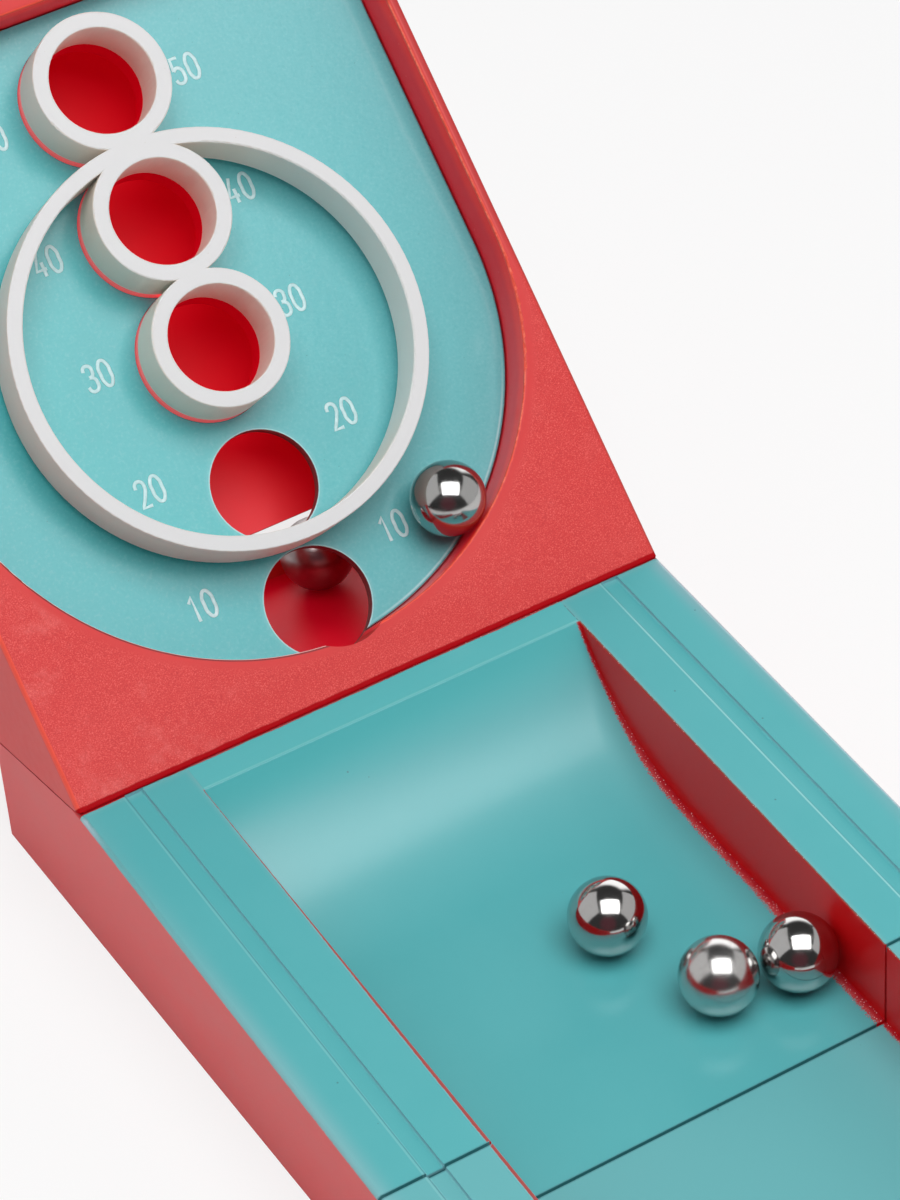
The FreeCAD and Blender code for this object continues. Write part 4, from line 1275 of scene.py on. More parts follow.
@dataclass(frozen=True)
class BoardPaint:
    """The score board's glossy turquoise paint with its orange-peel ripple, and painted
    highlights, reflection and shade.

    Attributes:
        name: the material's name.
        paint: the paint's colour.
        pale: its colour towards the right, where it is thinner.
        painted_reflection: its painted reflection along the recess wall, also laid as a painted
            highlight round the holes.
        rim: its painted highlight on the holes' lips and along the lower right rim.
        shade: its colour along the board's rim.
        mottle_light: the raised specks of its ripple.
        mottle_dark: the hollows between them.
        dot: its sparse dark dots.
        side: the colour of the board's cut edges, darkened as painted shade in the gap along the
            recess wall and in the holes.
        roughness: its roughness.
        peel: depth of its ripple.
    """

    name: str = "board_paint"
    paint: Colour = (0.036, 0.420, 0.444)
    pale: Colour = (0.092, 0.440, 0.468)
    painted_reflection: Colour = (0.29, 0.60, 0.62)
    rim: Colour = (0.62, 0.80, 0.82)
    shade: Colour = (0.05, 0.10, 0.12)
    mottle_light: Colour = (0.20, 0.56, 0.58)
    mottle_dark: Colour = (0.012, 0.33, 0.36)
    dot: Colour = (0.02, 0.12, 0.13)
    side: Colour = (0.10, 0.045, 0.05)
    roughness: float = 0.52
    peel: float = 0.028 * MM

    def build(self) -> Material:
        """Make the material.

        Returns:
            The material.
        """
        sheet = Sheet(self.name)
        patches = sheet.noise(40.0, 3.0, 0.5)
        thickness = sheet.shifted(sheet.across, patches, 12.0 * MM)
        colour = sheet.colour(sheet.ramp(thickness, -42.0 * MM, 44.0 * MM), self.paint, self.pale)
        colour = self._edges(sheet, colour)
        colour = self._wall_reflection(sheet, colour)
        mottle = sheet.noise(1900.0, 2.0, 0.6, offset=0.33)
        colour = sheet.colour(sheet.ramp(mottle, 0.50, 0.75, 0.0, 0.22), colour, self.mottle_light)
        colour = sheet.colour(sheet.ramp(mottle, 0.25, 0.50, 0.20, 0.0), colour, self.mottle_dark)
        colour = sheet.layer(sheet.specks(330.0, 0.035), 0.5, colour, self.dot)
        # Painted shade on the board's cut edges.
        front = sheet.ramp(sheet.facing(LAYOUT.target_normal()), 0.3, 0.8)
        colour = sheet.colour(front, self.side, colour)
        slow = sheet.noise(520.0, 2.0, 0.5, offset=0.6)
        fine = sheet.noise(1500.0, 2.0, 0.5, offset=0.1)
        normal = sheet.bump(sheet.shifted(slow, fine, 0.3), self.peel)
        rough = sheet.shifted(self.roughness, patches, 0.06)
        return sheet.finish(colour, rough, normal, coat=0.55, coat_roughness=0.2, haze=0.6)

    def _edges(self, sheet: Sheet, colour: Socket) -> Socket:
        """Return the paint with painted shade along its rim, painted highlight lines along the rim
        and the holes' lips, and a painted highlight round the holes.

        Args:
            sheet: the material.
            colour: the paint's colour so far.

        Returns:
            The colour.
        """
        outline = sheet.from_recess()
        lower_right = sheet.both(sheet.ramp(sheet.across, 4.0 * MM, 14.0 * MM),
                                 sheet.fall(sheet.across, 40.0 * MM, 47.0 * MM))
        # Painted highlight along the lower right rim.
        light = sheet.both(sheet.band(outline, -0.72 * MM, 0.13 * MM, 0.16 * MM), lower_right)
        colour = sheet.layer(light, 0.45, colour, self.rim)
        colour = sheet.layer(sheet.ramp(outline, -0.50 * MM, -0.38 * MM), 0.8, colour, self.shade)
        # Painted highlight on the holes' lips.
        lip = sheet.fall(sheet.from_holes, LAYOUT.hole_radius + 0.12 * MM,
                         LAYOUT.hole_radius + 0.26 * MM)
        colour = sheet.layer(lip, 0.45, colour, self.rim)
        # Painted highlight round the holes.
        halo = sheet.ramp(sheet.from_holes, LAYOUT.hole_radius, LAYOUT.hole_radius + 1.1 * MM,
                          0.18, 0.0)
        return sheet.colour(halo, colour, self.painted_reflection)

    def _wall_reflection(self, sheet: Sheet, colour: Socket) -> Socket:
        """Return the paint with a painted reflection along the right wall, in a band and a blotch.

        Args:
            sheet: the material.
            colour: the paint's colour so far.

        Returns:
            The colour.
        """
        run = sheet.shifted(sheet.from_recess(), sheet.drift(70.0, 2.0, 0.5, 0.65), 1.6 * MM)
        right = sheet.both(sheet.ramp(sheet.across, 20.0 * MM, 34.0 * MM),
                           sheet.ramp(sheet.up_face, 37.0 * MM, 43.0 * MM))
        inward = sheet.ramp(sheet.up_face, 42.0 * MM, 76.0 * MM, 1.6 * MM, 3.0 * MM)
        band = sheet.band(sheet.math("ADD", run, inward), 0.0, 0.15 * MM, 0.80 * MM)
        # Painted reflection along the right wall.
        colour = sheet.layer(sheet.both(band, right), 0.34, colour, self.painted_reflection)
        blotch = sheet.both(sheet.band(run, -4.2 * MM, 0.5 * MM, 1.4 * MM), right,
                            sheet.band(sheet.up_face, 42.0 * MM, 1.6 * MM, 2.6 * MM))
        return sheet.layer(blotch, 0.28, colour, self.painted_reflection)


@dataclass(frozen=True)
class RingWhite:
    """The ring moulding's matt white plastic, with painted reflected light on its walls.

    Attributes:
        name: the material's name.
        white: the plastic's colour.
        wall: the colour of its upright walls, warmed by painted reflected light.
        wall_board_reflection: its walls at the large ring's right side, tinted by the open board's
            painted reflection.
        lower: its colour below the board, tinted by the red walls' painted reflected light.
        dot: its sparse dark specks.
        roughness: its roughness.
        grain: depth of its fine grain.
    """

    name: str = "ring_white"
    white: Colour = (0.64, 0.64, 0.645)
    wall: Colour = (0.86, 0.77, 0.69)
    wall_board_reflection: Colour = (0.78, 0.80, 0.77)
    lower: Colour = (0.66, 0.47, 0.46)
    dot: Colour = (0.40, 0.36, 0.30)
    roughness: float = 0.42
    grain: float = 0.012 * MM

    def build(self) -> Material:
        """Make the material.

        Returns:
            The material.
        """
        sheet = Sheet(self.name)
        patches = sheet.noise(90.0, 3.0, 0.6)
        # Painted reflected light: walls warmer than the top, greener beside the open board, pink
        # below the board among the red walls.
        top = sheet.ramp(sheet.facing(LAYOUT.target_normal()), 0.35, 0.95)
        right = sheet.ramp(sheet.across, 14.0 * MM, 26.0 * MM)
        wall = sheet.colour(right, self.wall, self.wall_board_reflection)
        colour = sheet.colour(top, wall, self.white)
        below = sheet.fall(sheet.out, LAYOUT.board_out - 1.0 * MM, LAYOUT.board_out)
        colour = sheet.colour(below, colour, self.lower)
        colour = sheet.layer(sheet.specks(260.0, 0.03), 0.35, colour, self.dot)
        normal = sheet.bump(sheet.noise(2400.0, 3.0, 0.6), self.grain)
        rough = sheet.shifted(self.roughness, patches, 0.1)
        return sheet.finish(colour, rough, normal)


@dataclass(frozen=True)
class NumberInk:
    """The thin white ink of the score numbers.

    Attributes:
        name: the material's name.
        ink: the ink's colour.
        thin: its colour where it is thinner.
        roughness: its roughness.
        grain: depth of its unevenness.
    """

    name: str = "number_ink"
    ink: Colour = (0.60, 0.80, 0.82)
    thin: Colour = (0.46, 0.68, 0.70)
    roughness: float = 0.4
    grain: float = 0.01 * MM

    def build(self) -> Material:
        """Make the material.

        Returns:
            The material.
        """
        sheet = Sheet(self.name)
        full = sheet.ramp(sheet.noise(900.0, 3.0, 0.6), 0.35, 0.7)
        colour = sheet.colour(full, self.thin, self.ink)
        return sheet.finish(colour, self.roughness, sheet.bump(sheet.noise(1500.0), self.grain))


@dataclass(frozen=True)
class PolishedSteel:
    """Mirror-polished ball steel with faint wear.

    Attributes:
        name: the material's name.
        steel: the metal's colour.
        roughness: its roughness.
        worn: its colour where it is worn.
        rub: depth of its rubbed marks.
        scratch: depth of its fine scratches.
    """

    name: str = "polished_steel"
    steel: Colour = (0.500, 0.492, 0.484)
    roughness: float = 0.10
    worn: Colour = (0.46, 0.44, 0.42)
    rub: float = 0.0016 * MM
    scratch: float = 0.0006 * MM

    def build(self) -> Material:
        """Make the material.

        Returns:
            The material.
        """
        sheet = Sheet(self.name)
        wear = sheet.ramp(sheet.noise(700.0, 5.0, 0.65), 0.45, 0.75)
        rub = sheet.noise(900.0, 4.0, 0.7, (1.0, 0.22, 1.0), 0.5)
        scratch = sheet.noise(2600.0, 2.0, 0.5, (0.12, 1.0, 1.0), 0.2)
        colour = sheet.layer(wear, 0.35, self.steel, self.worn)
        rough = sheet.shifted(sheet.shifted(self.roughness, wear, 0.06), rub, 0.04)
        normal = sheet.bump(scratch, self.scratch, sheet.bump(rub, self.rub))
        return sheet.finish(colour, rough, normal, metallic=1.0)


@dataclass(frozen=True)
class ScrewSteel:
    """Plain zinc-plated screw steel.

    Attributes:
        name: the material's name.
        steel: the metal's colour.
        dull: its colour in the duller patches.
        roughness: its roughness.
        grain: depth of its fine grain.
    """

    name: str = "screw_steel"
    steel: Colour = (0.50, 0.50, 0.49)
    dull: Colour = (0.36, 0.36, 0.35)
    roughness: float = 0.28
    grain: float = 0.01 * MM

    def build(self) -> Material:
        """Make the material.

        Returns:
            The material.
        """
        sheet = Sheet(self.name)
        cloud = sheet.ramp(sheet.noise(900.0, 4.0, 0.6), 0.35, 0.7)
        colour = sheet.colour(cloud, self.steel, self.dull)
        rough = sheet.shifted(self.roughness, cloud, 0.15)
        normal = sheet.bump(sheet.noise(3000.0, 2.0), self.grain)
        return sheet.finish(colour, rough, normal, metallic=1.0)


class Bench:
    """Short calls for modelling by operator."""

    @staticmethod
    def clear() -> None:
        """Deselect everything and leave edit mode."""
        if bpy.context.object and bpy.context.object.mode != "OBJECT":
            Bench.leave_edit()
        bpy.ops.object.select_all(action="DESELECT")

    @staticmethod
    def pick(piece: Thing) -> None:
        """Select one object alone and make it active.

        Args:
            piece: the object.
        """
        Bench.clear()
        piece.hide_set(False)
        piece.select_set(True)
        bpy.context.view_layer.objects.active = piece

    @staticmethod
    def seat(piece: Thing) -> None:
        """Apply an object's place, turn and scale to its mesh."""
        Bench.pick(piece)
        bpy.ops.object.transform_apply(location=True, rotation=True, scale=True)

    @staticmethod
    def edit(select: bool) -> None:
        """Enter edit mode with the whole mesh selected, or with nothing selected."""
        bpy.ops.object.mode_set(mode="EDIT")
        bpy.ops.mesh.select_all(action="SELECT" if select else "DESELECT")

    @staticmethod
    def leave_edit() -> None:
        """Go back to object mode."""
        bpy.ops.object.mode_set(mode="OBJECT")

    @staticmethod
    def smooth(piece: Thing, sharp: float = math.radians(34.0)) -> None:
        """Shade smoothly, with flat faces kept flat.

        Args:
            piece: the object.
            sharp: the angle above which an edge stays sharp.
        """
        Bench.pick(piece)
        bpy.ops.object.shade_smooth_by_angle(angle=sharp)
        piece.data.normals_split_custom_set(FlatFaces(piece.data, sharp).normals())

    @staticmethod
    def dress(piece: Thing, material: Material) -> None:
        """Give a piece one material."""
        piece.data.materials.clear()
        piece.data.materials.append(material)


class FlatFaces:
    """Shading normals that keep a moulding's flat faces flat and let its rounds run into them.

    Attributes:
        flat_turn: sine of the greatest turn between facets of one flat face.
        strip_turn: sine of the greatest turn between neighbouring strips of a round.
        wide: area over outline above which a region may be a flat face.
        wide_rounds: share of such a region's outline that may run on into rounds.
        lone: area above which any region may be a flat face.
        lone_rounds: share of its outline that may run on into rounds.
        sliver: area below which a facet's own direction isn't trusted.
    """

    flat_turn: float = 0.0015
    strip_turn: float = 0.09
    wide: float = 0.8 * MM
    wide_rounds: float = 0.5
    lone: float = 4.0 * MM * MM
    lone_rounds: float = 0.1
    sliver: float = 2e-5 * MM

    def __init__(self, mesh: bpy.types.Mesh, sharp: float) -> None:
        """Sort the mesh's faces into flat regions.

        Args:
            mesh: the mesh.
            sharp: the angle above which an edge stays sharp.
        """
        self.mesh = mesh
        self.limit = math.cos(sharp)
        self.turns = [face.normal.copy() for face in mesh.polygons]
        self.areas = [face.area for face in mesh.polygons]
        self.region = list(range(len(mesh.polygons)))
        self.edges = self._edges()
        self.flat = self._flat_regions()

    def _edges(self) -> list[tuple[int, int, float]]:
        """Return the edges between two faces.

        Returns:
            Each edge's two faces and its length.
        """
        owners: dict[tuple[int, int], list[int]] = {}
        for face in self.mesh.polygons:
            for key in face.edge_keys:
                owners.setdefault(key, []).append(face.index)
        points = self.mesh.vertices
        return [(pair[0], pair[1], (points[key[0]].co - points[key[1]].co).length)
                for key, pair in owners.items() if len(pair) == 2]

    def _root(self, index: int) -> int:
        """Find the region that a face belongs to.

        Args:
            index: the face.

        Returns:
            The face that stands for the region.
        """
        while self.region[index] != index:
            self.region[index] = self.region[self.region[index]]
            index = self.region[index]
        return index

    def _turns_less(self, first: int, second: int, limit: float) -> bool:
        """Return whether two faces turn from each other by less than an angle of a given sine."""
        one, other = self.turns[first], self.turns[second]
        return one.dot(other) > 0.0 and one.cross(other).length < limit

    def _flat_regions(self) -> dict[int, Vector]:
        """Return the flat faces.

        Returns:
            The normal of each region that is one wide or lone flat face.
        """
        for first, second, _ in self.edges:
            if self._turns_less(first, second, self.flat_turn):
                self.region[self._root(first)] = self._root(second)
        area: dict[int, float] = {}
        total: dict[int, Vector] = {}
        for index, turn in enumerate(self.turns):
            root = self._root(index)
            area[root] = area.get(root, 0.0) + self.areas[index]
            total[root] = total.get(root, Vector()) + turn * self.areas[index]
        outline: dict[int, float] = {}
        rounds: dict[int, float] = {}
        for first, second, length in self.edges:
            one, other = self._root(first), self._root(second)
            if one == other:
                continue
            gentle = self._turns_less(first, second, self.strip_turn)
            for root in (one, other):
                outline[root] = outline.get(root, 0.0) + length
                rounds[root] = rounds.get(root, 0.0) + (length if gentle else 0.0)
        flat = {}
        for root, size in area.items():
            edge = outline.get(root, 1.0)
            share = rounds.get(root, 0.0)
            if (size > self.wide * edge and share < self.wide_rounds * edge) or (
                    size > self.lone and share < self.lone_rounds * edge):
                flat[root] = total[root].normalized()
        return flat

    def normals(self) -> list[Vector]:
        """Return the shading normals.

        Returns:
            One normal for each face corner.
        """
        around: list[list[int]] = [[] for _ in self.mesh.vertices]
        for face in self.mesh.polygons:
            for vertex in face.vertices:
                around[vertex].append(face.index)
        result = [UP] * len(self.mesh.loops)
        for face in self.mesh.polygons:
            own = self.flat.get(self._root(face.index))
            for loop, vertex in zip(face.loop_indices, face.vertices):
                result[loop] = own or self._corner(face.index, around[vertex])
        return result

    def _corner(self, index: int, faces: list[int]) -> Vector:
        """Return a rounded face's normal at one corner.

        Args:
            index: the face.
            faces: the faces round the corner.

        Returns:
            The normal, which follows a flat face that touches the corner.
        """
        turn = self.turns[index]
        sliver = self.areas[index] < self.sliver
        roots = {self._root(other) for other in faces}
        flats = [self.flat[root] for root in roots if root in self.flat
                 and (sliver or self.flat[root].dot(turn) > self.limit)]
        if flats:
            return sum(flats, Vector()).normalized()
        total = Vector()
        for other in faces:
            if self.areas[other] > self.sliver and self.turns[other].dot(turn) > self.limit:
                total += self.turns[other] * math.sqrt(self.areas[other])
        return total.normalized() if total.length > 0.0 else turn


@dataclass
class Moulding:
    """A moulded piece taken from its solid, with its facets merged and its faces smoothed.

    Attributes:
        source: the solid's object.
        node: the solid's node.
        name: the piece's name.
        body: the body it rides on.
        slot: its material slot; not used.
        material: its finish.
        merge: how near the corners are that become one.
        thinnest: length below which an edge is taken out.
        ledge_along: where the ledge on the ramp lies, measured up the slope from the target.
        ledge_up: its height out of the rails' plane.
        ledge_near: how far from there its corners may lie.
        ledge_merge: how near the corners are that become one there.
    """

    source: Thing
    node: str
    name: str
    body: Body
    slot: Slot
    material: Material
    merge: float = 0.002 * MM
    thinnest: float = 0.001 * MM
    ledge_along: float = -11.0 * MM
    ledge_up: float = -5.8 * MM
    ledge_near: float = 0.25 * MM
    ledge_merge: float = 0.15 * MM

    def _weld_ramp(self, piece: Thing) -> None:
        """Merge the hair-thin ledge where the lane's ramp is made of two arcs.

        Args:
            piece: the rear lane section.
        """
        Bench.pick(piece)
        Bench.edit(select=False)
        Bench.leave_edit()
        ledge = (LAYOUT.rail_origin() + LAYOUT.slope_forward() * self.ledge_along
                 + LAYOUT.slope_normal() * self.ledge_up)
        for vertex in piece.data.vertices:
            across = Vector((vertex.co.x, 0.0, 0.0))
            vertex.select = ((vertex.co - ledge - across).length < self.ledge_near
                             and abs(vertex.co.x) < LAYOUT.lane_half + 0.1 * MM)
        bpy.ops.object.mode_set(mode="EDIT")
        bpy.ops.mesh.remove_doubles(threshold=self.ledge_merge)
        Bench.leave_edit()

    def build(self) -> Thing:
        """Make the piece.

        Returns:
            The finished piece.
        """
        Bench.pick(self.source)
        bpy.ops.object.duplicate()
        piece = bpy.context.object
        piece.name = self.name
        place = piece.matrix_world.copy()
        piece.parent = None
        piece.matrix_world = place
        Bench.seat(piece)
        Bench.edit(select=True)
        bpy.ops.mesh.remove_doubles(threshold=self.merge)
        bpy.ops.mesh.dissolve_degenerate(threshold=self.thinnest)
        Bench.leave_edit()
        if self.node == "rear_base":
            self._weld_ramp(piece)
        Bench.smooth(piece)
        Bench.dress(piece, self.material)
        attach(piece, self.body.value)
        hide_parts(self.node)
        return piece


@dataclass
class SteelBalls:
    """The five loose steel balls.

    Attributes:
        radius: a ball's radius.
        cuts: how often the starting cube's sides are divided.
        turn: how far each ball is turned on from the one before, about each axis.
        riders: which body each ball's node rides on.
    """

    radius: float = 6.0 * MM
    cuts: int = 30
    turn: tuple[float, float, float] = (0.7, 1.3, 0.4)
    riders: dict[str, Body] = field(default_factory=lambda: {
        "ball_1": Body.LANE_BALL_1, "ball_2": Body.LANE_BALL_2, "ball_3": Body.LANE_BALL_3,
        "ball_4": Body.TARGET_BALL, "ball_5": Body.TRAY_BALL})

    def build(self, materials: dict[str, Material]) -> list[Thing]:
        """Return the balls, each in the place of its solid.

        Args:
            materials: each ball's finish.

        Returns:
            The five balls.
        """
        pattern = self._pattern()
        made = []
        for node, body in self.riders.items():
            low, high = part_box(node)
            Bench.pick(pattern)
            bpy.ops.object.duplicate()
            ball = bpy.context.object
            ball.name = "steel_%s" % node
            ball.location = (Vector(low) + Vector(high)) / 2
            ball.rotation_euler = Euler([angle * len(made) for angle in self.turn])
            Bench.seat(ball)
            Bench.dress(ball, materials[node])
            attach(ball, body.value)
            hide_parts(node)
            made.append(ball)
        bpy.data.objects.remove(pattern)
        return made

    def _pattern(self) -> Thing:
        """Make one ball at the origin, rounded out of a divided cube.

        Returns:
            The ball.
        """
        Bench.clear()
        bpy.ops.mesh.primitive_cube_add(size=2 * self.radius)
        ball = bpy.context.object
        Bench.edit(select=True)
        bpy.ops.mesh.subdivide(number_cuts=self.cuts)
        bpy.ops.transform.tosphere(value=1.0)
        Bench.leave_edit()
        for vertex in ball.data.vertices:
            vertex.co = vertex.co.normalized() * self.radius
        bpy.ops.object.shade_smooth()
        return ball


@dataclass(frozen=True)
class Stroke:
    """One pen stroke of a score number.

    Attributes:
        points: its points in a box one unit high.
        corners: which points are sharp corners.
        closed: whether the stroke joins its own start.
    """

    points: list[tuple[float, float]]
    corners: tuple[int, ...] = ()
    closed: bool = False


STROKES: dict[str, list[Stroke]] = {
    "0": [Stroke([(0.0, 0.5), (0.03, 0.80), (0.27, 1.0), (0.51, 0.80), (0.54, 0.5),
                  (0.51, 0.20), (0.27, 0.0), (0.03, 0.20)], closed=True)],
    "1": [Stroke([(0.10, 0.75), (0.32, 0.96), (0.32, 0.0)], (0, 1, 2))],
    "2": [Stroke([(0.02, 0.74), (0.08, 0.93), (0.27, 1.0), (0.47, 0.92), (0.52, 0.72),
                  (0.42, 0.50), (0.02, 0.0), (0.54, 0.0)], (6, 7))],
    "3": [Stroke([(0.03, 0.80), (0.10, 0.95), (0.27, 1.0), (0.46, 0.93), (0.50, 0.76),
                  (0.42, 0.58), (0.24, 0.54)], (6,)),
          Stroke([(0.24, 0.54), (0.46, 0.47), (0.54, 0.28), (0.47, 0.07), (0.27, 0.0),
                  (0.08, 0.06), (0.0, 0.22)], (0,))],
    "4": [Stroke([(0.34, 1.0), (0.0, 0.27), (0.56, 0.27)], (0, 1, 2)),
          Stroke([(0.40, 0.56), (0.40, 0.0)], (0, 1))],
    "5": [Stroke([(0.49, 1.0), (0.09, 1.0), (0.05, 0.52)], (0, 1, 2)),
          Stroke([(0.05, 0.52), (0.26, 0.62), (0.47, 0.53), (0.54, 0.31), (0.46, 0.07),
                  (0.26, 0.0), (0.08, 0.05), (0.0, 0.18)], (0,))],
}


@dataclass
class ScoreNumbers:
    """The two rows of printed score numbers.

    Attributes:
        height: a numeral's height.
        stroke: half a pen stroke's width.
        thickness: the ink's thickness.
        drawn_width: a numeral's width as its strokes are drawn, in heights.
        narrow: what that width is multiplied by.
        spacing: step from one numeral to the next, in heights.
        place_x: distance of each row from the middle.
        askew: how far the print is turned clockwise on the board.
        pivot: the place up the face about which it is turned.
        curve_steps: how many pieces each part of a stroke is made of.
        rim_steps: how many steps its rounded rim has.
        places: where each number's middle lies up the face.
    """

    height: float = 4.20 * MM
    stroke: float = 0.295 * MM
    thickness: float = 0.03 * MM
    drawn_width: float = 0.54
    narrow: float = 0.72
    spacing: float = 0.612
    place_x: float = 16.97 * MM
    askew: float = math.radians(0.48)
    pivot: float = 92.0 * MM
    curve_steps: int = 6
    rim_steps: int = 2
    places: dict[str, float] = field(default_factory=lambda: {
        "50": 100.45 * MM, "40": 79.7 * MM, "30": 60.4 * MM, "20": 40.9 * MM, "10": 21.57 * MM})

    def build(self, material: Material) -> Thing:
        """Return all numbers as one printed layer on the board.

        Args:
            material: the ink.

        Returns:
            The printed numbers.
        """
        strokes = []
        for text, place in self.places.items():
            for side in (-1, 1):
                x = side * self.place_x + (place - self.pivot) * self.askew
                strokes += self._number(text, x, place - side * self.place_x * self.askew)
        Bench.clear()
        for stroke in strokes:
            stroke.select_set(True)
        bpy.context.view_layer.objects.active = strokes[0]
        bpy.ops.object.join()
        layer = bpy.context.object
        layer.name = "score_numbers"
        Bench.dress(layer, material)
        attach(layer, Body.TARGET.value)
        return layer

    def _number(self, text: str, x: float, place: float) -> list[Thing]:
        """Return one number's strokes on the board.

        Args:
            text: the number.
            x: its middle's distance to the right.
            place: its middle's place up the face.

        Returns:
            One object per stroke.
        """
        made = []
        width = (len(text) - 1) * self.spacing + self.drawn_width * self.narrow
        for index, numeral in enumerate(text):
            start = index * self.spacing - width / 2
            for stroke in STROKES[numeral]:
                made.append(self._stroke(stroke, start, x, place))
        return made

    def _stroke(self, stroke: Stroke, start: float, x: float, place: float) -> Thing:
        """Return one stroke as a thin flat ribbon.

        Args:
            stroke: the stroke.
            start: the numeral's left edge, in heights from the number's middle.
            x: the number's middle.
            place: the number's place up the face.

        Returns:
            The ribbon.
        """
        Bench.clear()
        bpy.ops.object.add(type="CURVE")
        pen = bpy.context.object
        curve = pen.data
        curve.dimensions = "3D"
        curve.resolution_u = self.curve_steps
        curve.bevel_depth = self.stroke
        curve.bevel_resolution = self.rim_steps
        curve.use_fill_caps = True
        line = curve.splines.new("BEZIER")
        line.bezier_points.add(len(stroke.points) - 1)
        line.use_cyclic_u = stroke.closed
        for index, (across, up) in enumerate(stroke.points):
            point = line.bezier_points[index]
            right = start + across * self.narrow
            point.co = (right * self.height, (up - 0.5) * self.height, 0.0)
            kind = "VECTOR" if index in stroke.corners else "AUTO"
            point.handle_left_type = kind
            point.handle_right_type = kind
        Bench.pick(pen)
        bpy.ops.object.convert(target="MESH")
        pen.scale = (1.0, 1.0, self.thickness / self.stroke)
        Bench.seat(pen)
        pen.rotation_euler = Euler((LAYOUT.tilt, 0.0, 0.0))
        pen.location = LAYOUT.target_point(x, place, LAYOUT.board_out)
        Bench.seat(pen)
        bpy.ops.object.shade_smooth()
        return pen


@dataclass(frozen=True)
class Softbox:
    """One soft light that faces the game.

    Attributes:
        name: the light's name.
        away: the direction in which it stands, seen from the game.
        across: the direction of its width, or None for level.
        width: its width.
        height: its height.
        radiance: how bright its face is, where 1 is white.
        distance: how far off it stands.
    """

    name: str
    away: tuple[float, float, float]
    across: tuple[float, float, float] | None
    width: float
    height: float
    radiance: float
    distance: float = 1.0

    def build(self, middle: Vector) -> None:
        """Hang the light.

        Args:
            middle: the point that it faces.
        """
        data = bpy.data.lights.new(self.name, "AREA")
        data.shape = "RECTANGLE"
        data.size = self.width
        data.size_y = self.height
        data.energy = self.radiance * math.pi * self.width * self.height
        lamp = bpy.data.objects.new(self.name, data)
        bpy.context.scene.collection.objects.link(lamp)
        away = Vector(self.away).normalized()
        across = Vector(self.across) if self.across else UP.cross(away)
        across = (across - away * across.dot(away)).normalized()
        turn = Matrix((across, away.cross(across), away)).transposed()
        lamp.matrix_world = Matrix.Translation(middle + away * self.distance) @ turn.to_4x4()
        lamp.visible_camera = False


@dataclass(frozen=True)
class PhotoCamera:
    """The camera, where the photograph was taken.

    Attributes:
        eye: its place, measured from the lower edge of the target face.
        bearing: how far it looks to the right of straight along the lane.
        dip: how far it looks down.
        roll: how far it is turned about its own line of sight.
        sensor: the sensor's width in millimetres.
        lens: the focal length in millimetres.
        nearest: how near it begins to see.
    """

    eye: tuple[float, float, float] = (-229.67 * MM, -445.34 * MM, 431.65 * MM)
    bearing: float = math.radians(28.668)
    dip: float = math.radians(39.759)
    roll: float = math.radians(-4.578)
    sensor: float = 36.0
    lens: float = 130.177
    nearest: float = 0.01

    def build(self) -> None:
        """Set the camera up."""
        forward = Vector((math.sin(self.bearing) * math.cos(self.dip),
                          math.cos(self.bearing) * math.cos(self.dip), -math.sin(self.dip)))
        right = forward.cross(UP).normalized()
        upward = right.cross(forward)
        turned_right = math.cos(self.roll) * right + math.sin(self.roll) * upward
        turned_up = -math.sin(self.roll) * right + math.cos(self.roll) * upward
        turn = Matrix((turned_right, turned_up, -forward)).transposed()
        place = Vector(self.eye) + Vector((0.0, LAYOUT.foot_y, LAYOUT.foot_z))
        data = bpy.data.cameras.new("photo_camera")
        data.sensor_width = self.sensor
        data.lens = self.lens
        data.clip_start = self.nearest
        camera = bpy.data.objects.new("photo_camera", data)
        bpy.context.scene.collection.objects.link(camera)
        camera.matrix_world = Matrix.Translation(place) @ turn.to_4x4()
        bpy.context.scene.camera = camera


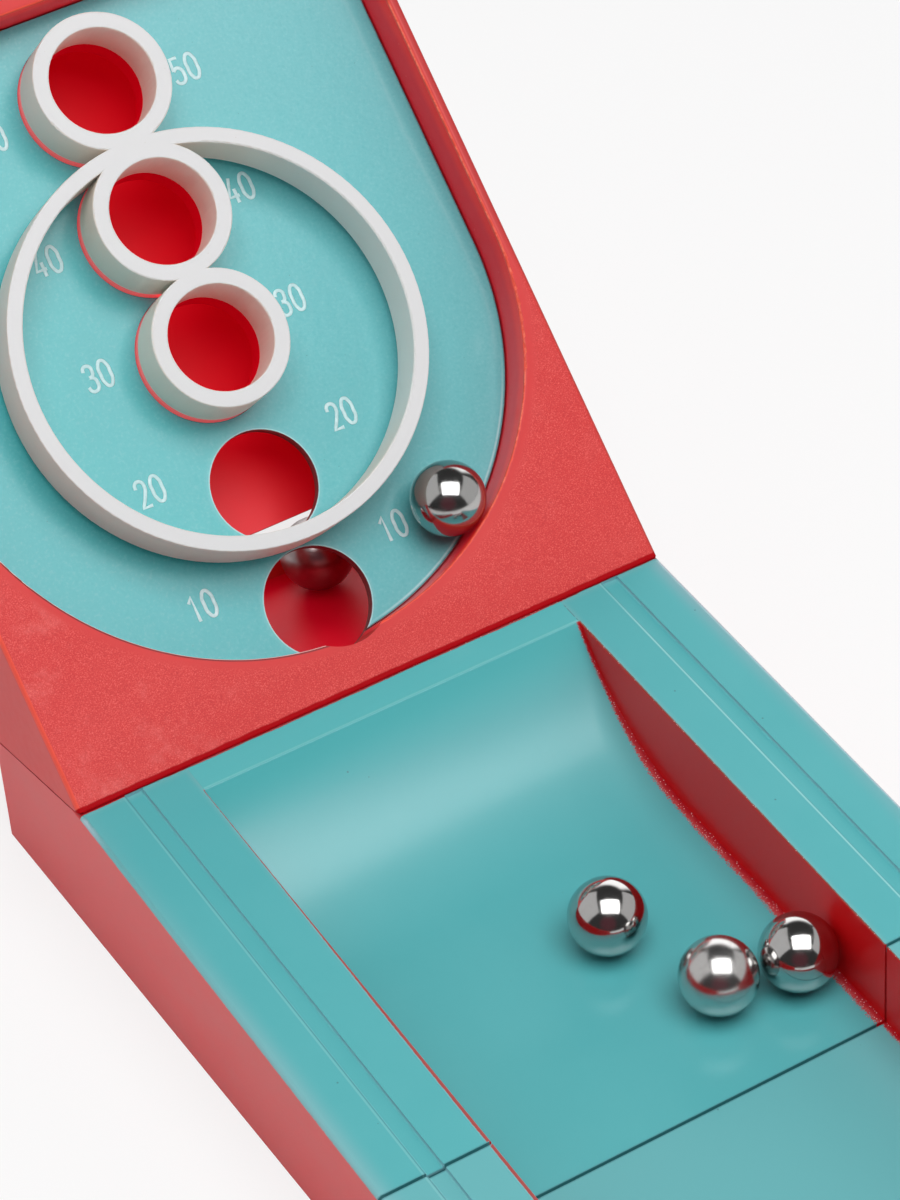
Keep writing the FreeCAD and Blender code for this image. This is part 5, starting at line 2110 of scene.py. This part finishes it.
@dataclass
class Studio:
    """The pale table, the bright backdrop, the soft lights and the camera.

    Attributes:
        middle: the point that the lights face.
        white: the surroundings' brightness to the camera.
        screen: the backdrop's brightness.
        room: the dark room's brightness.
        warm: the colour of the room's warmly lit part.
        warm_way: the direction in which that part lies.
        table_size: the table's length and width.
        table_drop: how far its top lies below the game.
        table_white: the table's colour.
        table_glow: how bright the table's own light is to the camera.
        table_share: how much of what the camera sees of the table is that light.
        lights: the soft lights.
    """

    middle: Vector = field(default_factory=lambda: Vector((0.0, 0.0, 0.03)))
    white: float = 0.922
    screen: float = 1.9
    room: float = 0.05
    warm: Colour = (0.13, 0.045, 0.055)
    warm_way: tuple[float, float, float] = (-0.46, -0.80, 0.38)
    table_size: float = 8.0
    table_drop: float = 0.05 * MM
    table_white: float = 0.88
    table_glow: float = 0.965
    table_share: float = 0.80
    lights: tuple[Softbox, ...] = (
        Softbox("overhead_softbox", (-0.01, -0.37, 0.929), (0.887, -0.424, -0.19),
                0.93, 0.72, 4.85),
        Softbox("left_panel", (-0.692, 0.432, 0.578), None, 1.45, 1.18, 0.68),
        Softbox("right_panel", (0.805, -0.446, 0.391), None, 1.30, 0.87, 0.62),
    )

    def build(self) -> None:
        """Make the table, the world, the lights and the camera."""
        self._table()
        self._world()
        for light in self.lights:
            light.build(self.middle)
        PhotoCamera().build()
        bpy.context.scene.view_settings.view_transform = "Standard"

    def _table(self) -> None:
        """Make the white table top."""
        Bench.clear()
        bpy.ops.mesh.primitive_plane_add(size=self.table_size,
                                         location=(0.0, 0.0, -self.table_drop))
        table = bpy.context.object
        table.name = "white_table"
        Bench.seat(table)
        bpy.ops.object.mode_set(mode="EDIT")
        bpy.ops.mesh.subdivide(number_cuts=3)
        Bench.leave_edit()
        Bench.dress(table, self._table_finish())

    def _table_finish(self) -> Material:
        """Make the table's material: white to the camera, with the game's soft shadow.

        Returns:
            The material.
        """
        sheet = Sheet("white_table")
        nodes, links = sheet.tree.nodes, sheet.tree.links
        matt = nodes.new("ShaderNodeBsdfDiffuse")
        sheet.paint((self.table_white,) * 3, matt.inputs["Color"])
        glow = nodes.new("ShaderNodeEmission")
        sheet.paint((self.table_glow,) * 3, glow.inputs["Color"])
        seen = nodes.new("ShaderNodeLightPath").outputs["Is Camera Ray"]
        mix = nodes.new("ShaderNodeMixShader")
        links.new(sheet.math("MULTIPLY", seen, self.table_share), mix.inputs[0])
        links.new(matt.outputs[0], mix.inputs[1])
        links.new(glow.outputs[0], mix.inputs[2])
        links.new(mix.outputs[0], sheet.output.inputs["Surface"])
        return sheet.material

    def _world(self) -> None:
        """Make the bright backdrop behind the game and the dim room round it."""
        world = bpy.data.worlds.new("studio")
        bpy.context.scene.world = world
        world.use_nodes = True
        room = Tree(world.node_tree)
        nodes = room.tree.nodes
        direction = nodes.new("ShaderNodeTexCoord").outputs["Generated"]
        split = nodes.new("ShaderNodeSeparateXYZ")
        room.link(direction, split.inputs[0])
        bearing = room.math("ARCTAN2", split.outputs["X"], split.outputs["Y"])
        left = room.ramp(bearing, math.radians(-2.0), math.radians(10.0))
        right = room.fall(bearing, math.radians(62.0), math.radians(76.0))
        top = room.fall(split.outputs["Z"], math.sin(math.radians(29.0)),
                        math.sin(math.radians(42.0)))
        warm = room.ramp(room.dot(direction, Vector(self.warm_way)), 0.88, 0.98)
        dim = room.colour(warm, (self.room,) * 3, self.warm)
        lit = room.colour(room.both(left, right, top), dim, (self.screen,) * 3)
        seen = nodes.new("ShaderNodeLightPath").outputs["Is Camera Ray"]
        back = nodes.new("ShaderNodeBackground")
        room.link(room.colour(seen, lit, (self.white,) * 3), back.inputs["Color"])
        end = nodes.new("ShaderNodeOutputWorld")
        room.link(back.outputs[0], end.inputs["Surface"])


class ScoreGame:
    """The whole game: its mouldings, numbers, balls and screws."""

    def __init__(self, frame: dict) -> None:
        """Keep the loaded frame and make the finishes.

        Args:
            frame: the loaded frame.
        """
        self.frame = frame
        self.red = MouldedRed().build()
        self.inner_red = MouldedRed(name="inner_red", deep=(0.57, 0.0004, 0.014), glow=0.10,
                                    inside_haze=0.17, low_haze=0.0, all_inside=True).build()
        self.sprayed = SprayedLane().build()
        self.board = BoardPaint().build()
        self.ring = RingWhite().build()
        self.ink = NumberInk().build()
        polished = PolishedSteel().build()
        worn = PolishedSteel("worn_steel", (0.56, 0.55, 0.54), 0.19).build()
        # A darker copy of the polished steel for the ball on the board.
        darker_polished = PolishedSteel("darker_steel", (0.455, 0.450, 0.442), 0.12).build()
        # A darker, reddish copy of the steel for the ball in the tray: painted shade and painted
        # reflection of the red tray.
        dull = PolishedSteel("shadowed_red_steel", (0.36, 0.31, 0.31), 0.27).build()
        self.steels = {"ball_1": polished, "ball_2": worn, "ball_3": polished,
                       "ball_4": darker_polished, "ball_5": dull}
        self.screw = ScrewSteel().build()

    def build(self) -> None:
        """Build every piece in order and report it."""
        mouldings = (
            ("rear_base", "rear_lane_section", Body.BASE, Slot.RED, self.sprayed),
            ("front_base", "front_lane_section", Body.FRONT, Slot.RED, self.sprayed),
            ("ball_tray", "ball_catch_tray", Body.BASE, Slot.RED, self.inner_red),
            ("target_housing", "target_front_shell", Body.TARGET, Slot.RED, self.red),
            ("housing_back", "target_back_cover", Body.TARGET, Slot.RED, self.red),
            ("target_board", "painted_board", Body.TARGET, Slot.BOARD, self.board),
            ("score_rings", "ring_moulding", Body.TARGET, Slot.RING, self.ring),
            ("back_screws", "cover_screws", Body.TARGET, Slot.SCREW, self.screw),
            ("tray_screws", "tray_fixing_screws", Body.BASE, Slot.SCREW, self.screw),
        )
        for node, name, body, slot, material in mouldings:
            solid = self.frame["nodes"][node]
            piece = Moulding(solid, node, name, body, slot, material).build()
            LOG.info("%s: %d faces", piece.name, len(piece.data.polygons))
        for ball in SteelBalls().build(self.steels):
            LOG.info("%s: %d faces", ball.name, len(ball.data.polygons))
        numbers = ScoreNumbers().build(self.ink)
        LOG.info("%s: %d faces", numbers.name, len(numbers.data.polygons))


def main() -> None:
    """Build the game and its studio."""
    logging.basicConfig(level=logging.INFO)
    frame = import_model()
    ScoreGame(frame).build()
    Studio().build()


if __name__ == "__main__":
    main()
